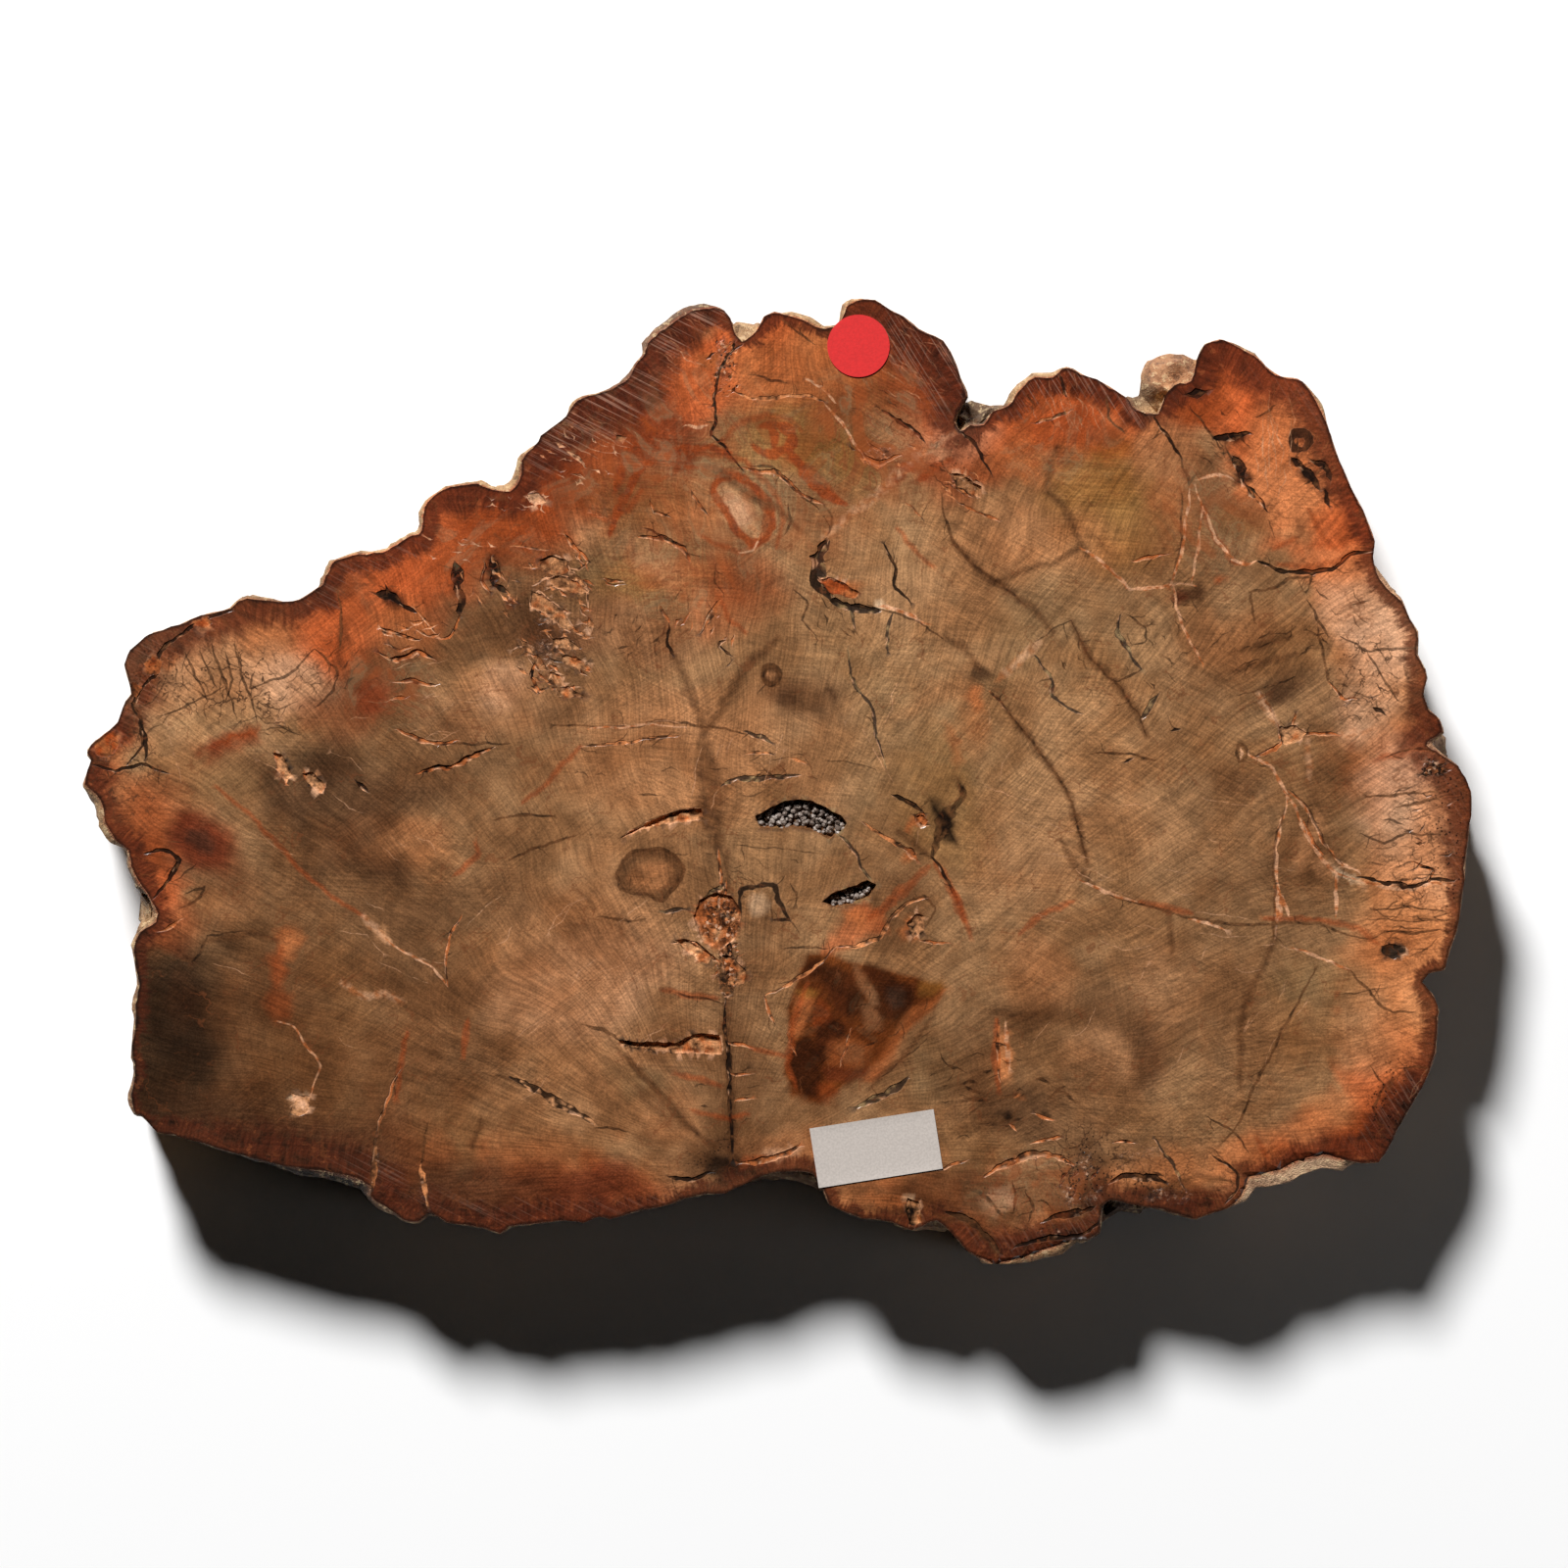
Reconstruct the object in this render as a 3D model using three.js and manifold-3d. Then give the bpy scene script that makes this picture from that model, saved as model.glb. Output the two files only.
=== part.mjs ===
// A slice sawn across a petrified log. It lies on its sawn underside with the polished face up.
// Millimetres, +Z up. The origin is the middle of the underside.

import * as THREE from 'three';
import { mergeVertices } from 'three/addons/utils/BufferGeometryUtils.js';
import Module from 'manifold-3d';

const wasm = await Module();
wasm.setup();

// Driving dimensions
const faceLength = 221.5; // longest way across the polished face, along X
const sliceThickness = 22;
const wallLevels = 8; // rows of facets from the polished edge down to the underside
const edgeDrop = 1.1; // height of the first row, where the bark starts to show
const wallLump = 0.9; // rise and fall of the broken bark
const wallUndercut = 0.7; // how far the wall draws in below the polished edge
const underCurl = 0.8; // how far the wall draws in again at the underside
const knobDetail = 2; // subdivisions of each lump of bark
const knobSwell = 0.3; // unevenness of each lump, as a share of its size
const knobFloor = 0.5; // lowest and highest that a lump reaches
const knobTop = sliceThickness - 2;
const pitSlope = 0.25; // how far a pit narrows towards its floor, as a share
const vugDepth = 3.4; // crystal-lined hollows
const crustThickness = 1.1;
const crustGap = 0.35;
const crystalRadius = 0.62;
const crystalHeight = 1.5;
const dotDiameter = 10;
const dotSides = 40;
const labelLength = 20;
const labelWidth = 9.6;
const paperThickness = 0.2;

const stoneFinish = { color: 0x9a7353, roughness: 0.3, metalness: 0 };
const quartzFinish = { color: 0x8d8780, roughness: 0.25, metalness: 0 };
const dotFinish = { color: 0xd8232f, roughness: 0.7, metalness: 0 };
const labelFinish = { color: 0xe9e8ee, roughness: 0.8, metalness: 0 };

// Places on the face are given in pixels of a straight-down view, x to the right and y down the page.
// The edge of the polished face, clockwise from its leftmost point
const edgeTrace = [
  [84, 800], [87, 790], [92, 775], [88, 768], [92, 760], [106, 748], [119, 737], [127, 715],
  [133, 708], [129, 690], [126, 678], [132, 663], [144, 652], [156, 644], [184, 636], [200, 629],
  [216, 624], [234, 620], [243, 612], [252, 609], [284, 613], [305, 611], [320, 601], [328, 595],
  [334, 583], [338, 575], [345, 570], [366, 564], [390, 563], [404, 554], [418, 547], [427, 545],
  [430, 538], [430, 528], [435, 512], [447, 502], [455, 497], [470, 494], [488, 492], [503, 499],
  [512, 501], [520, 500], [529, 489], [532, 470], [541, 458], [547, 453], [551, 444], [562, 436],
  [577, 424], [584, 411], [600, 402], [622, 397], [637, 388], [643, 382], [650, 367], [656, 360],
  [660, 350], [672, 338], [688, 326], [705, 316], [718, 314], [735, 314], [746, 324], [750, 338],
  [757, 348], [767, 341], [775, 330], [779, 322], [790, 317], [808, 321], [825, 327], [838, 334],
  [852, 333], [857, 328], [863, 313], [873, 305], [882, 304], [893, 305], [908, 315], [922, 322],
  [938, 335], [963, 347], [971, 358], [978, 374], [983, 390], [988, 405], [979, 420], [976, 430],
  [980, 438], [990, 433], [1003, 432], [1012, 420], [1028, 413], [1038, 400], [1050, 388],
  [1056, 384], [1074, 384], [1084, 376], [1090, 374], [1103, 381], [1120, 386], [1139, 398],
  [1150, 405], [1160, 417], [1175, 421], [1181, 421], [1187, 404], [1198, 392], [1215, 388],
  [1220, 366], [1228, 352], [1236, 348], [1245, 345], [1258, 350], [1280, 362], [1292, 373],
  [1308, 383], [1325, 386], [1337, 397], [1347, 414], [1354, 430], [1368, 470], [1379, 497],
  [1392, 520], [1402, 545], [1404, 552], [1402, 568], [1408, 590], [1420, 603], [1432, 613],
  [1440, 631], [1448, 644], [1448, 668], [1456, 683], [1457, 692], [1453, 708], [1459, 724],
  [1470, 734], [1473, 747], [1462, 755], [1458, 760], [1470, 768], [1489, 781], [1499, 800],
  [1502, 808], [1502, 832], [1497, 872], [1494, 912], [1488, 950], [1478, 980], [1475, 990],
  [1459, 994], [1452, 1002], [1462, 1014], [1470, 1032], [1468, 1042], [1466, 1075], [1457, 1100],
  [1440, 1132], [1430, 1147], [1418, 1172], [1407, 1187], [1390, 1188], [1368, 1183], [1348, 1179],
  [1325, 1185], [1307, 1194], [1285, 1200], [1275, 1202], [1268, 1220], [1258, 1231], [1245, 1236],
  [1220, 1245], [1200, 1240], [1178, 1234], [1150, 1229], [1133, 1226], [1126, 1232], [1123, 1259],
  [1110, 1266], [1093, 1267], [1075, 1274], [1040, 1285], [1013, 1290], [1000, 1284], [986, 1277],
  [974, 1263], [956, 1247], [942, 1252], [930, 1257], [920, 1252], [903, 1247], [880, 1244],
  [862, 1238], [845, 1229], [838, 1210], [828, 1198], [800, 1196], [782, 1199], [757, 1210],
  [740, 1218], [720, 1220], [700, 1223], [684, 1230], [655, 1236], [622, 1245], [612, 1242],
  [595, 1249], [583, 1246], [552, 1249], [520, 1253], [510, 1260], [497, 1256], [478, 1252],
  [455, 1248], [442, 1240], [437, 1239], [427, 1247], [412, 1245], [398, 1236], [383, 1227],
  [377, 1220], [377, 1212], [368, 1205], [335, 1197], [305, 1193], [262, 1184], [220, 1173],
  [185, 1161], [160, 1156], [145, 1140], [137, 1136], [133, 1122], [136, 1105], [136, 1085],
  [134, 1080], [138, 1040], [138, 1025], [142, 1005], [138, 985], [135, 965], [143, 950],
  [158, 940], [160, 932], [153, 920], [142, 903], [133, 884], [130, 868], [116, 857], [106, 840],
  [103, 820], [97, 812], [90, 806],
];

// Stretches where the bark reaches out past the polished edge: middle, half length in pixels, reach in mm
const barkFlares = [
  { at: [254, 610], half: 22, reach: 0.5 },
  { at: [331, 580], half: 18, reach: 1.1 },
  { at: [372, 564], half: 34, reach: 0.6 },
  { at: [416, 546], half: 16, reach: 0.8 },
  { at: [430, 522], half: 20, reach: 1.1 },
  { at: [470, 494], half: 30, reach: 0.4 },
  { at: [525, 482], half: 28, reach: 1.4 },
  { at: [585, 411], half: 12, reach: 0.6 },
  { at: [634, 386], half: 18, reach: 0.7 },
  { at: [690, 324], half: 45, reach: 1.5 },
  { at: [825, 327], half: 25, reach: 0.7 },
  { at: [866, 311], half: 10, reach: 0.5 },
  { at: [1042, 395], half: 22, reach: 0.9 },
  { at: [1072, 381], half: 10, reach: 0.6 },
  { at: [1272, 358], half: 12, reach: 0.4 },
  { at: [1348, 418], half: 10, reach: 0.5 },
  { at: [1415, 597], half: 20, reach: 1.2 },
  { at: [1462, 757], half: 14, reach: 1.0 },
  { at: [98, 828], half: 26, reach: 1.7 },
  { at: [122, 860], half: 14, reach: 0.8 },
  { at: [134, 888], half: 22, reach: 1.1 },
  { at: [152, 938], half: 12, reach: 1.0 },
  { at: [137, 1045], half: 90, reach: 0.5 },
  { at: [330, 1200], half: 62, reach: 1.8 },
  { at: [415, 1238], half: 40, reach: 0.5 },
  { at: [1050, 1280], half: 55, reach: 0.6 },
  { at: [1320, 1195], half: 60, reach: 2.0 },
];

// Broken lumps of bark on the wall: middle in pixels, height of the middle and half sizes in mm
const wallKnobs = [
  { at: [1199, 392], level: 11, half: [5.6, 5.6, 7.6] },
  { at: [1166, 424], level: 8, half: [5.2, 4.0, 8.0] },
  { at: [762, 352], level: 10, half: [4.6, 4.4, 9.5] },
  { at: [1000, 438], level: 11, half: [6.4, 4.6, 9.0] },
  { at: [162, 925], level: 10, half: [5.4, 5.2, 9.5] },
  { at: [1444, 758], level: 10, half: [5.6, 4.2, 9.5] },
  { at: [1142, 1222], level: 9, half: [5.2, 4.4, 8.5] },
  { at: [808, 1190], level: 8, half: [9.5, 4.6, 7.6] },
  { at: [946, 1232], level: 9, half: [7.4, 4.4, 8.4] },
];

// Hollows lined with crystals
const largeVug = [
  [770, 832], [785, 825], [800, 817], [815, 815], [830, 818], [845, 825], [858, 832], [865, 840],
  [858, 850], [846, 857], [836, 850], [824, 846], [810, 844], [795, 846], [775, 844],
];
const smallVug = [
  [838, 920], [850, 910], [868, 905], [885, 898], [895, 902], [888, 915], [870, 923], [852, 926],
];

// Open pits in the face: outline in pixels, depth in mm
const pits = [
  { rim: [[655, 840], [672, 832], [690, 828], [720, 825], [718, 840], [690, 841]], depth: 1.0 },
  { rim: [[708, 935], [714, 918], [730, 910], [748, 915], [756, 935], [750, 958], [735, 972], [716, 962]], depth: 0.5 },
  { rim: [[752, 905], [792, 904], [801, 925], [808, 936], [790, 941], [780, 916], [757, 914]], depth: 0.9 },
  { rim: [[540, 605], [556, 608], [570, 620], [580, 630], [586, 643], [565, 628], [545, 620]], depth: 1.3 },
  { rim: [[560, 570], [572, 572], [585, 582], [566, 580]], depth: 1.0 },
  { rim: [[545, 588], [570, 592], [600, 604], [575, 603]], depth: 1.1 },
  { rim: [[560, 653], [580, 658], [595, 664], [578, 666]], depth: 1.0 },
  { rim: [[540, 668], [552, 673], [560, 684], [546, 680]], depth: 1.1 },
  { rim: [[575, 667], [590, 673], [602, 683], [584, 679]], depth: 1.0 },
  { rim: [[560, 687], [570, 691], [578, 701], [565, 697]], depth: 1.0 },
  { rim: [[574, 692], [588, 700], [597, 711], [580, 705]], depth: 1.0 },
  { rim: [[400, 668], [414, 660], [430, 664], [428, 678], [410, 684]], depth: 0.9 },
  { rim: [[575, 466], [588, 458], [600, 466], [590, 480], [578, 478]], depth: 0.6 },
  { rim: [[278, 772], [290, 768], [301, 792], [290, 798]], depth: 0.8 },
  { rim: [[308, 788], [322, 790], [336, 804], [318, 800]], depth: 0.8 },
  { rim: [[415, 750], [432, 751], [448, 760], [428, 763]], depth: 0.6 },
  { rim: [[973, 483], [986, 486], [1001, 500], [984, 507], [978, 496]], depth: 0.7 },
  { rim: [[835, 592], [846, 586], [862, 596], [890, 612], [872, 616], [846, 606]], depth: 0.7 },
  { rim: [[1300, 742], [1318, 744], [1316, 752], [1298, 758], [1288, 775], [1282, 762]], depth: 0.6 },
];

// Open cracks and slots: path in pixels, widest opening and depth in mm
const cracks = [
  { path: [[740, 870], [743, 905], [739, 950], [745, 1000], [738, 1060], [743, 1110], [741, 1160], [738, 1195]], width: 0.9, depth: 1.2 },
  { path: [[718, 748], [719, 800], [733, 860], [738, 905]], width: 0.5, depth: 0.6 },
  { path: [[497, 1096], [520, 1106], [550, 1117], [577, 1131], [606, 1147]], width: 1.5, depth: 1.5 },
  { path: [[600, 1045], [622, 1055], [645, 1064], [690, 1067], [738, 1062]], width: 1.3, depth: 1.1 },
  { path: [[745, 1060], [770, 1067], [802, 1076]], width: 0.9, depth: 0.9 },
  { path: [[980, 798], [976, 822], [957, 848], [950, 870]], width: 1.4, depth: 1.2 },
  { path: [[952, 868], [966, 900], [982, 928], [992, 960]], width: 0.7, depth: 0.8 },
  { path: [[908, 806], [924, 822], [946, 842]], width: 0.8, depth: 0.8 },
  { path: [[688, 964], [706, 957], [722, 968], [737, 982]], width: 1.1, depth: 0.9 },
  { path: [[838, 546], [831, 572], [832, 592], [846, 614], [892, 622], [926, 629], [950, 643]], width: 0.9, depth: 0.7 },
  { path: [[895, 553], [914, 579], [912, 596], [930, 616]], width: 0.6, depth: 0.6 },
  { path: [[724, 438], [745, 467], [760, 478], [795, 480], [816, 505], [846, 521]], width: 0.8, depth: 0.8 },
  { path: [[573, 543], [588, 555], [602, 571]], width: 0.8, depth: 0.9 },
  { path: [[752, 746], [770, 750], [792, 761]], width: 0.7, depth: 0.7 },
  { path: [[743, 801], [756, 795], [786, 793], [808, 793]], width: 0.8, depth: 0.8 },
  { path: [[850, 774], [872, 779], [898, 789]], width: 0.7, depth: 0.7 },
  { path: [[430, 791], [456, 782], [492, 768]], width: 1.0, depth: 0.8 },
  { path: [[363, 797], [374, 803], [386, 813]], width: 0.8, depth: 0.8 },
  { path: [[638, 540], [664, 547], [702, 562]], width: 1.0, depth: 0.8 },
  { path: [[671, 618], [676, 626], [683, 635]], width: 0.8, depth: 0.8 },
  { path: [[1278, 575], [1320, 588], [1356, 585], [1390, 569]], width: 0.6, depth: 0.8 },
  { path: [[1378, 892], [1410, 900], [1442, 905], [1475, 899]], width: 0.8, depth: 0.9 },
  { path: [[1376, 666], [1412, 662], [1438, 658]], width: 0.7, depth: 0.8 },
  { path: [[1405, 968], [1422, 966], [1440, 974]], width: 1.8, depth: 0.9 },
  { path: [[1150, 629], [1143, 645], [1150, 661], [1158, 675]], width: 0.7, depth: 0.7 },
  { path: [[1184, 703], [1168, 720], [1159, 740]], width: 0.7, depth: 0.7 },
  { path: [[1250, 463], [1266, 478], [1278, 502], [1298, 526]], width: 0.6, depth: 0.6 },
  { path: [[868, 1131], [898, 1115], [927, 1099]], width: 1.0, depth: 0.8 },
  { path: [[416, 1062], [402, 1110], [388, 1150], [382, 1192]], width: 0.5, depth: 0.6 },
  { path: [[430, 1170], [429, 1200], [436, 1228]], width: 0.6, depth: 0.7 },
  { path: [[1083, 858], [1100, 890], [1120, 907], [1165, 922]], width: 0.5, depth: 0.6 },
];

const dotMiddle = [876, 353];
const labelMiddle = [894, 1172];
const labelTurn = THREE.MathUtils.degToRad(8.9);

const traceBox = new THREE.Box2().setFromPoints(edgeTrace.map(([x, y]) => new THREE.Vector2(x, y)));
const traceMiddle = traceBox.getCenter(new THREE.Vector2());
const pixel = faceLength / (traceBox.max.x - traceBox.min.x);

// A place on the face, in mm from the middle
function place([x, y]) {
  return new THREE.Vector2((x - traceMiddle.x) * pixel, (traceMiddle.y - y) * pixel);
}

// A path or closed outline in mm, turned to run anticlockwise when it is closed
function outline(trace) {
  const points = trace.map(place);
  return THREE.ShapeUtils.isClockWise(points) ? points.reverse() : points;
}

// A repeatable number from 0 to 1
function scatter(seed) {
  const wave = Math.sin(seed * 12.9898) * 43758.5453;
  return wave - Math.floor(wave);
}

// The rise and fall of broken stone, from about -1 to 1
function roughness(x, y, z) {
  const broad = Math.sin(0.23 * x + 0.17 * z + 0.9) * Math.cos(0.27 * y - 0.31 * z);
  const ridge = Math.abs(Math.sin(0.41 * x - 0.37 * y + 0.12 * z)) - 0.6;
  const fine = Math.sin(0.81 * x - 0.66 * y + 0.94 * z) + Math.cos(0.58 * x + 0.93 * y - 0.89 * z);
  return 0.4 * broad + 0.5 * ridge + 0.24 * fine;
}

// Outward directions along a closed outline, evened over a few neighbours
function outwardDirections(points) {
  const reach = 3;
  return points.map((_, i) => {
    const before = points.at((i - reach + points.length) % points.length);
    const after = points.at((i + reach) % points.length);
    return new THREE.Vector2(after.y - before.y, before.x - after.x).normalize();
  });
}

// A closed outline moved inwards by a distance
function inset(points, distance) {
  return points.map((point, i) => {
    const before = points.at(i - 1);
    const after = points.at((i + 1) % points.length);
    const inward = new THREE.Vector2(before.y - after.y, after.x - before.x).normalize();
    return point.clone().addScaledVector(inward, distance);
  });
}

// A closed solid through rings of equal length, the highest ring first
function loft(rings) {
  const count = rings[0].length;
  const positions = rings.flat().flatMap(({ x, y, z }) => [x, y, z]);
  const index = [];
  for (let ring = 0; ring < rings.length - 1; ring += 1) {
    for (let i = 0; i < count; i += 1) {
      const next = (i + 1) % count;
      const high = ring * count;
      const low = high + count;
      index.push(high + i, low + i, low + next, high + i, low + next, high + next);
    }
  }
  const flat = (ring) => ring.map(({ x, y }) => new THREE.Vector2(x, y));
  for (const [a, b, c] of THREE.ShapeUtils.triangulateShape(flat(rings[0]), [])) {
    index.push(a, b, c);
  }
  const last = (rings.length - 1) * count;
  for (const [a, b, c] of THREE.ShapeUtils.triangulateShape(flat(rings.at(-1)), [])) {
    index.push(last + a, last + c, last + b);
  }
  const geometry = new THREE.BufferGeometry();
  geometry.setAttribute('position', new THREE.Float32BufferAttribute(positions, 3));
  geometry.setIndex(index);
  return geometry;
}

// A ring of outline points at one height
function ringAt(points, z) {
  return points.map((point) => new THREE.Vector3(point.x, point.y, z));
}

function toSolid(geometry) {
  const bare = geometry.clone();
  bare.deleteAttribute('normal');
  bare.deleteAttribute('uv');
  const merged = mergeVertices(bare, 1e-4);
  return new wasm.Manifold(new wasm.Mesh({
    numProp: 3,
    vertProperties: new Float32Array(merged.attributes.position.array),
    triVerts: new Uint32Array(merged.index.array),
  }));
}

function toGeometry(solid) {
  const mesh = solid.getMesh();
  const geometry = new THREE.BufferGeometry();
  geometry.setAttribute('position', new THREE.BufferAttribute(mesh.vertProperties, 3));
  geometry.setIndex(new THREE.BufferAttribute(mesh.triVerts, 1));
  const faceted = geometry.toNonIndexed();
  faceted.computeVertexNormals();
  return faceted;
}

// How far the bark stands past the polished edge at a point, in mm
function flareAt(point) {
  let reach = -wallUndercut;
  for (const flare of barkFlares) {
    const distance = point.distanceTo(place(flare.at)) / (flare.half * pixel);
    const share = THREE.MathUtils.smoothstep(1.35 - distance, 0, 0.7);
    reach = Math.max(reach, THREE.MathUtils.lerp(-wallUndercut, flare.reach, share));
  }
  return reach;
}

// The log's body: the polished face, the rough bark wall and the sawn underside
function sliceBody() {
  const edge = outline(edgeTrace);
  const outward = outwardDirections(edge);
  const limit = new THREE.Box2().setFromPoints(edge);
  const rings = [ringAt(edge, sliceThickness)];
  for (let level = 1; level <= wallLevels; level += 1) {
    const share = (level - 1) / (wallLevels - 1);
    const z = (sliceThickness - edgeDrop) * (1 - share);
    const curl = underCurl * THREE.MathUtils.smoothstep(share, 0.7, 1);
    rings.push(edge.map((point, i) => {
      const lump = wallLump * roughness(point.x, point.y, z) * Math.min(1, level / 2);
      const reach = flareAt(point) + lump - curl;
      const moved = limit.clampPoint(point.clone().addScaledVector(outward[i], reach), new THREE.Vector2());
      return new THREE.Vector3(moved.x, moved.y, z);
    }));
  }
  return toSolid(loft(rings));
}

// A broken lump on the wall
function knob({ at, level, half }, number) {
  const geometry = new THREE.IcosahedronGeometry(1, knobDetail);
  const { position } = geometry.attributes;
  const middle = place(at);
  const corner = new THREE.Vector3();
  for (let i = 0; i < position.count; i += 1) {
    corner.fromBufferAttribute(position, i);
    const swell = 1 + knobSwell * roughness(9 * corner.x + 5 * number, 9 * corner.y, 6 * corner.z);
    corner.multiplyScalar(swell);
    const z = THREE.MathUtils.clamp(level + corner.z * half[2], knobFloor, knobTop);
    position.setXYZ(i, middle.x + corner.x * half[0], middle.y + corner.y * half[1], z);
  }
  return toSolid(geometry);
}

// An open pit with sloping sides
function pitCutter({ rim, depth }) {
  const points = outline(rim);
  const middle = new THREE.Vector2();
  points.forEach((point) => middle.addScaledVector(point, 1 / points.length));
  const floor = points.map((point) => point.clone().lerp(middle, pitSlope));
  return toSolid(loft([
    ringAt(points, sliceThickness + depth),
    ringAt(points, sliceThickness),
    ringAt(floor, sliceThickness - depth),
  ]));
}

// An open crack of V section that runs out to nothing at both ends
function crackCutter({ path, width, depth }) {
  const points = path.map(place);
  const above = 0.5;
  const rise = 1 + above / depth;
  const positions = [];
  const corner = (x, y, z) => positions.push(x, y, z) / 3 - 1;
  const sections = points.map((point, i) => {
    const along = points[Math.min(i + 1, points.length - 1)].clone().sub(points[Math.max(i - 1, 0)]).normalize();
    const share = i / (points.length - 1);
    const taper = Math.max(0.12, Math.sin(Math.PI * share) ** 0.5) * (0.85 + 0.3 * scatter(i + width * 7));
    const half = 0.5 * width * taper * rise;
    const left = corner(point.x - along.y * half, point.y + along.x * half, sliceThickness + above);
    const right = corner(point.x + along.y * half, point.y - along.x * half, sliceThickness + above);
    const root = corner(point.x, point.y, sliceThickness - depth * taper);
    return [left, right, root];
  });
  const index = [];
  const first = sections[0];
  const last = sections.at(-1);
  index.push(first[0], first[2], first[1], last[0], last[1], last[2]);
  for (let i = 0; i < sections.length - 1; i += 1) {
    const [left, right, root] = sections[i];
    const [nextLeft, nextRight, nextRoot] = sections[i + 1];
    index.push(left, right, nextRight, left, nextRight, nextLeft);
    index.push(right, root, nextRoot, right, nextRoot, nextRight);
    index.push(root, left, nextLeft, root, nextLeft, nextRoot);
  }
  const geometry = new THREE.BufferGeometry();
  geometry.setAttribute('position', new THREE.Float32BufferAttribute(positions, 3));
  geometry.setIndex(index);
  return toSolid(geometry);
}

// The hollow that a crystal crust lines
function vugCutter(trace) {
  const points = outline(trace);
  const depth = vugDepth;
  return toSolid(loft([ringAt(points, sliceThickness + depth), ringAt(points, sliceThickness - depth)]));
}

// One six-sided crystal with a pointed end
function crystal(middle, radius, height, lean, turn) {
  const body = new THREE.CylinderGeometry(radius, radius, height, 6, 1);
  const point = new THREE.ConeGeometry(radius, radius * 1.1, 6, 1);
  body.translate(0, height / 2, 0);
  point.translate(0, height + radius * 0.55, 0);
  const pose = new THREE.Matrix4().makeRotationFromEuler(new THREE.Euler(Math.PI / 2 + lean.x, turn, lean.y, 'ZXY'));
  pose.setPosition(middle);
  return toSolid(body.applyMatrix4(pose)).add(toSolid(point.applyMatrix4(pose)));
}

// The quartz crust on a hollow's floor, with the crystals grown together on it
function crust(trace, seed) {
  const floor = sliceThickness - vugDepth;
  const rim = outline(trace);
  const bed = inset(rim, crustGap);
  const room = inset(rim, crustGap + crystalRadius * 1.25);
  let solid = toSolid(loft([ringAt(inset(bed, 0.25), floor + crustThickness), ringAt(bed, floor)]));
  const middle = new THREE.Vector2();
  for (let i = 0; i < room.length; i += 1) {
    const partner = room[(room.length - i) % room.length];
    for (const share of [0.05, 0.5]) {
      middle.lerpVectors(room[i], partner, share);
      const number = seed + 3 * i + share;
      const radius = crystalRadius * (0.65 + 0.4 * scatter(number));
      const height = crystalHeight * (0.35 + 0.65 * scatter(number + 1));
      const lean = new THREE.Vector2(0.36 * (scatter(number + 2) - 0.5), 0.36 * (scatter(number + 3) - 0.5));
      const root = new THREE.Vector3(middle.x, middle.y, floor + 0.4 * crustThickness);
      solid = solid.add(crystal(root, radius, height, lean, 6 * scatter(number + 4)));
    }
  }
  return toGeometry(solid);
}

function slab() {
  let solid = sliceBody();
  for (const [number, lump] of wallKnobs.entries()) {
    solid = solid.add(knob(lump, number));
  }
  for (const pit of pits) {
    solid = solid.subtract(pitCutter(pit));
  }
  for (const crack of cracks) {
    solid = solid.subtract(crackCutter(crack));
  }
  for (const vug of [largeVug, smallVug]) {
    solid = solid.subtract(vugCutter(vug));
  }
  return toGeometry(solid);
}

// A round sticker laid on the face
function dotSticker() {
  const disc = new THREE.CylinderGeometry(dotDiameter / 2, dotDiameter / 2, paperThickness, dotSides);
  return disc.rotateX(Math.PI / 2);
}

// A small printed-paper label, left blank
function paperLabel() {
  return new THREE.BoxGeometry(labelLength, labelWidth, paperThickness);
}

function piece(name, geometry, finish) {
  const mesh = new THREE.Mesh(geometry, new THREE.MeshStandardMaterial(finish));
  mesh.name = name;
  return mesh;
}

// Lays a flat piece on the polished face
function layOnFace(mesh, trace, turn = 0) {
  const { x, y } = place(trace);
  mesh.position.set(x, y, sliceThickness + paperThickness / 2);
  mesh.rotation.z = turn;
  return mesh;
}

const slice = new THREE.Group();
slice.add(piece('petrified_wood_slab', slab(), stoneFinish));
slice.add(piece('quartz_crust_large', crust(largeVug, 11), quartzFinish));
slice.add(piece('quartz_crust_small', crust(smallVug, 57), quartzFinish));
slice.add(layOnFace(piece('red_dot_sticker', dotSticker(), dotFinish), dotMiddle));
slice.add(layOnFace(piece('blank_paper_label', paperLabel(), labelFinish), labelMiddle, labelTurn));

export default slice;
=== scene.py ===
import math
from collections import namedtuple

import bmesh
import bpy
import numpy as np
from mathutils import Matrix, Vector
from mathutils.geometry import delaunay_2d_cdt
from mathutils.kdtree import KDTree


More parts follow.
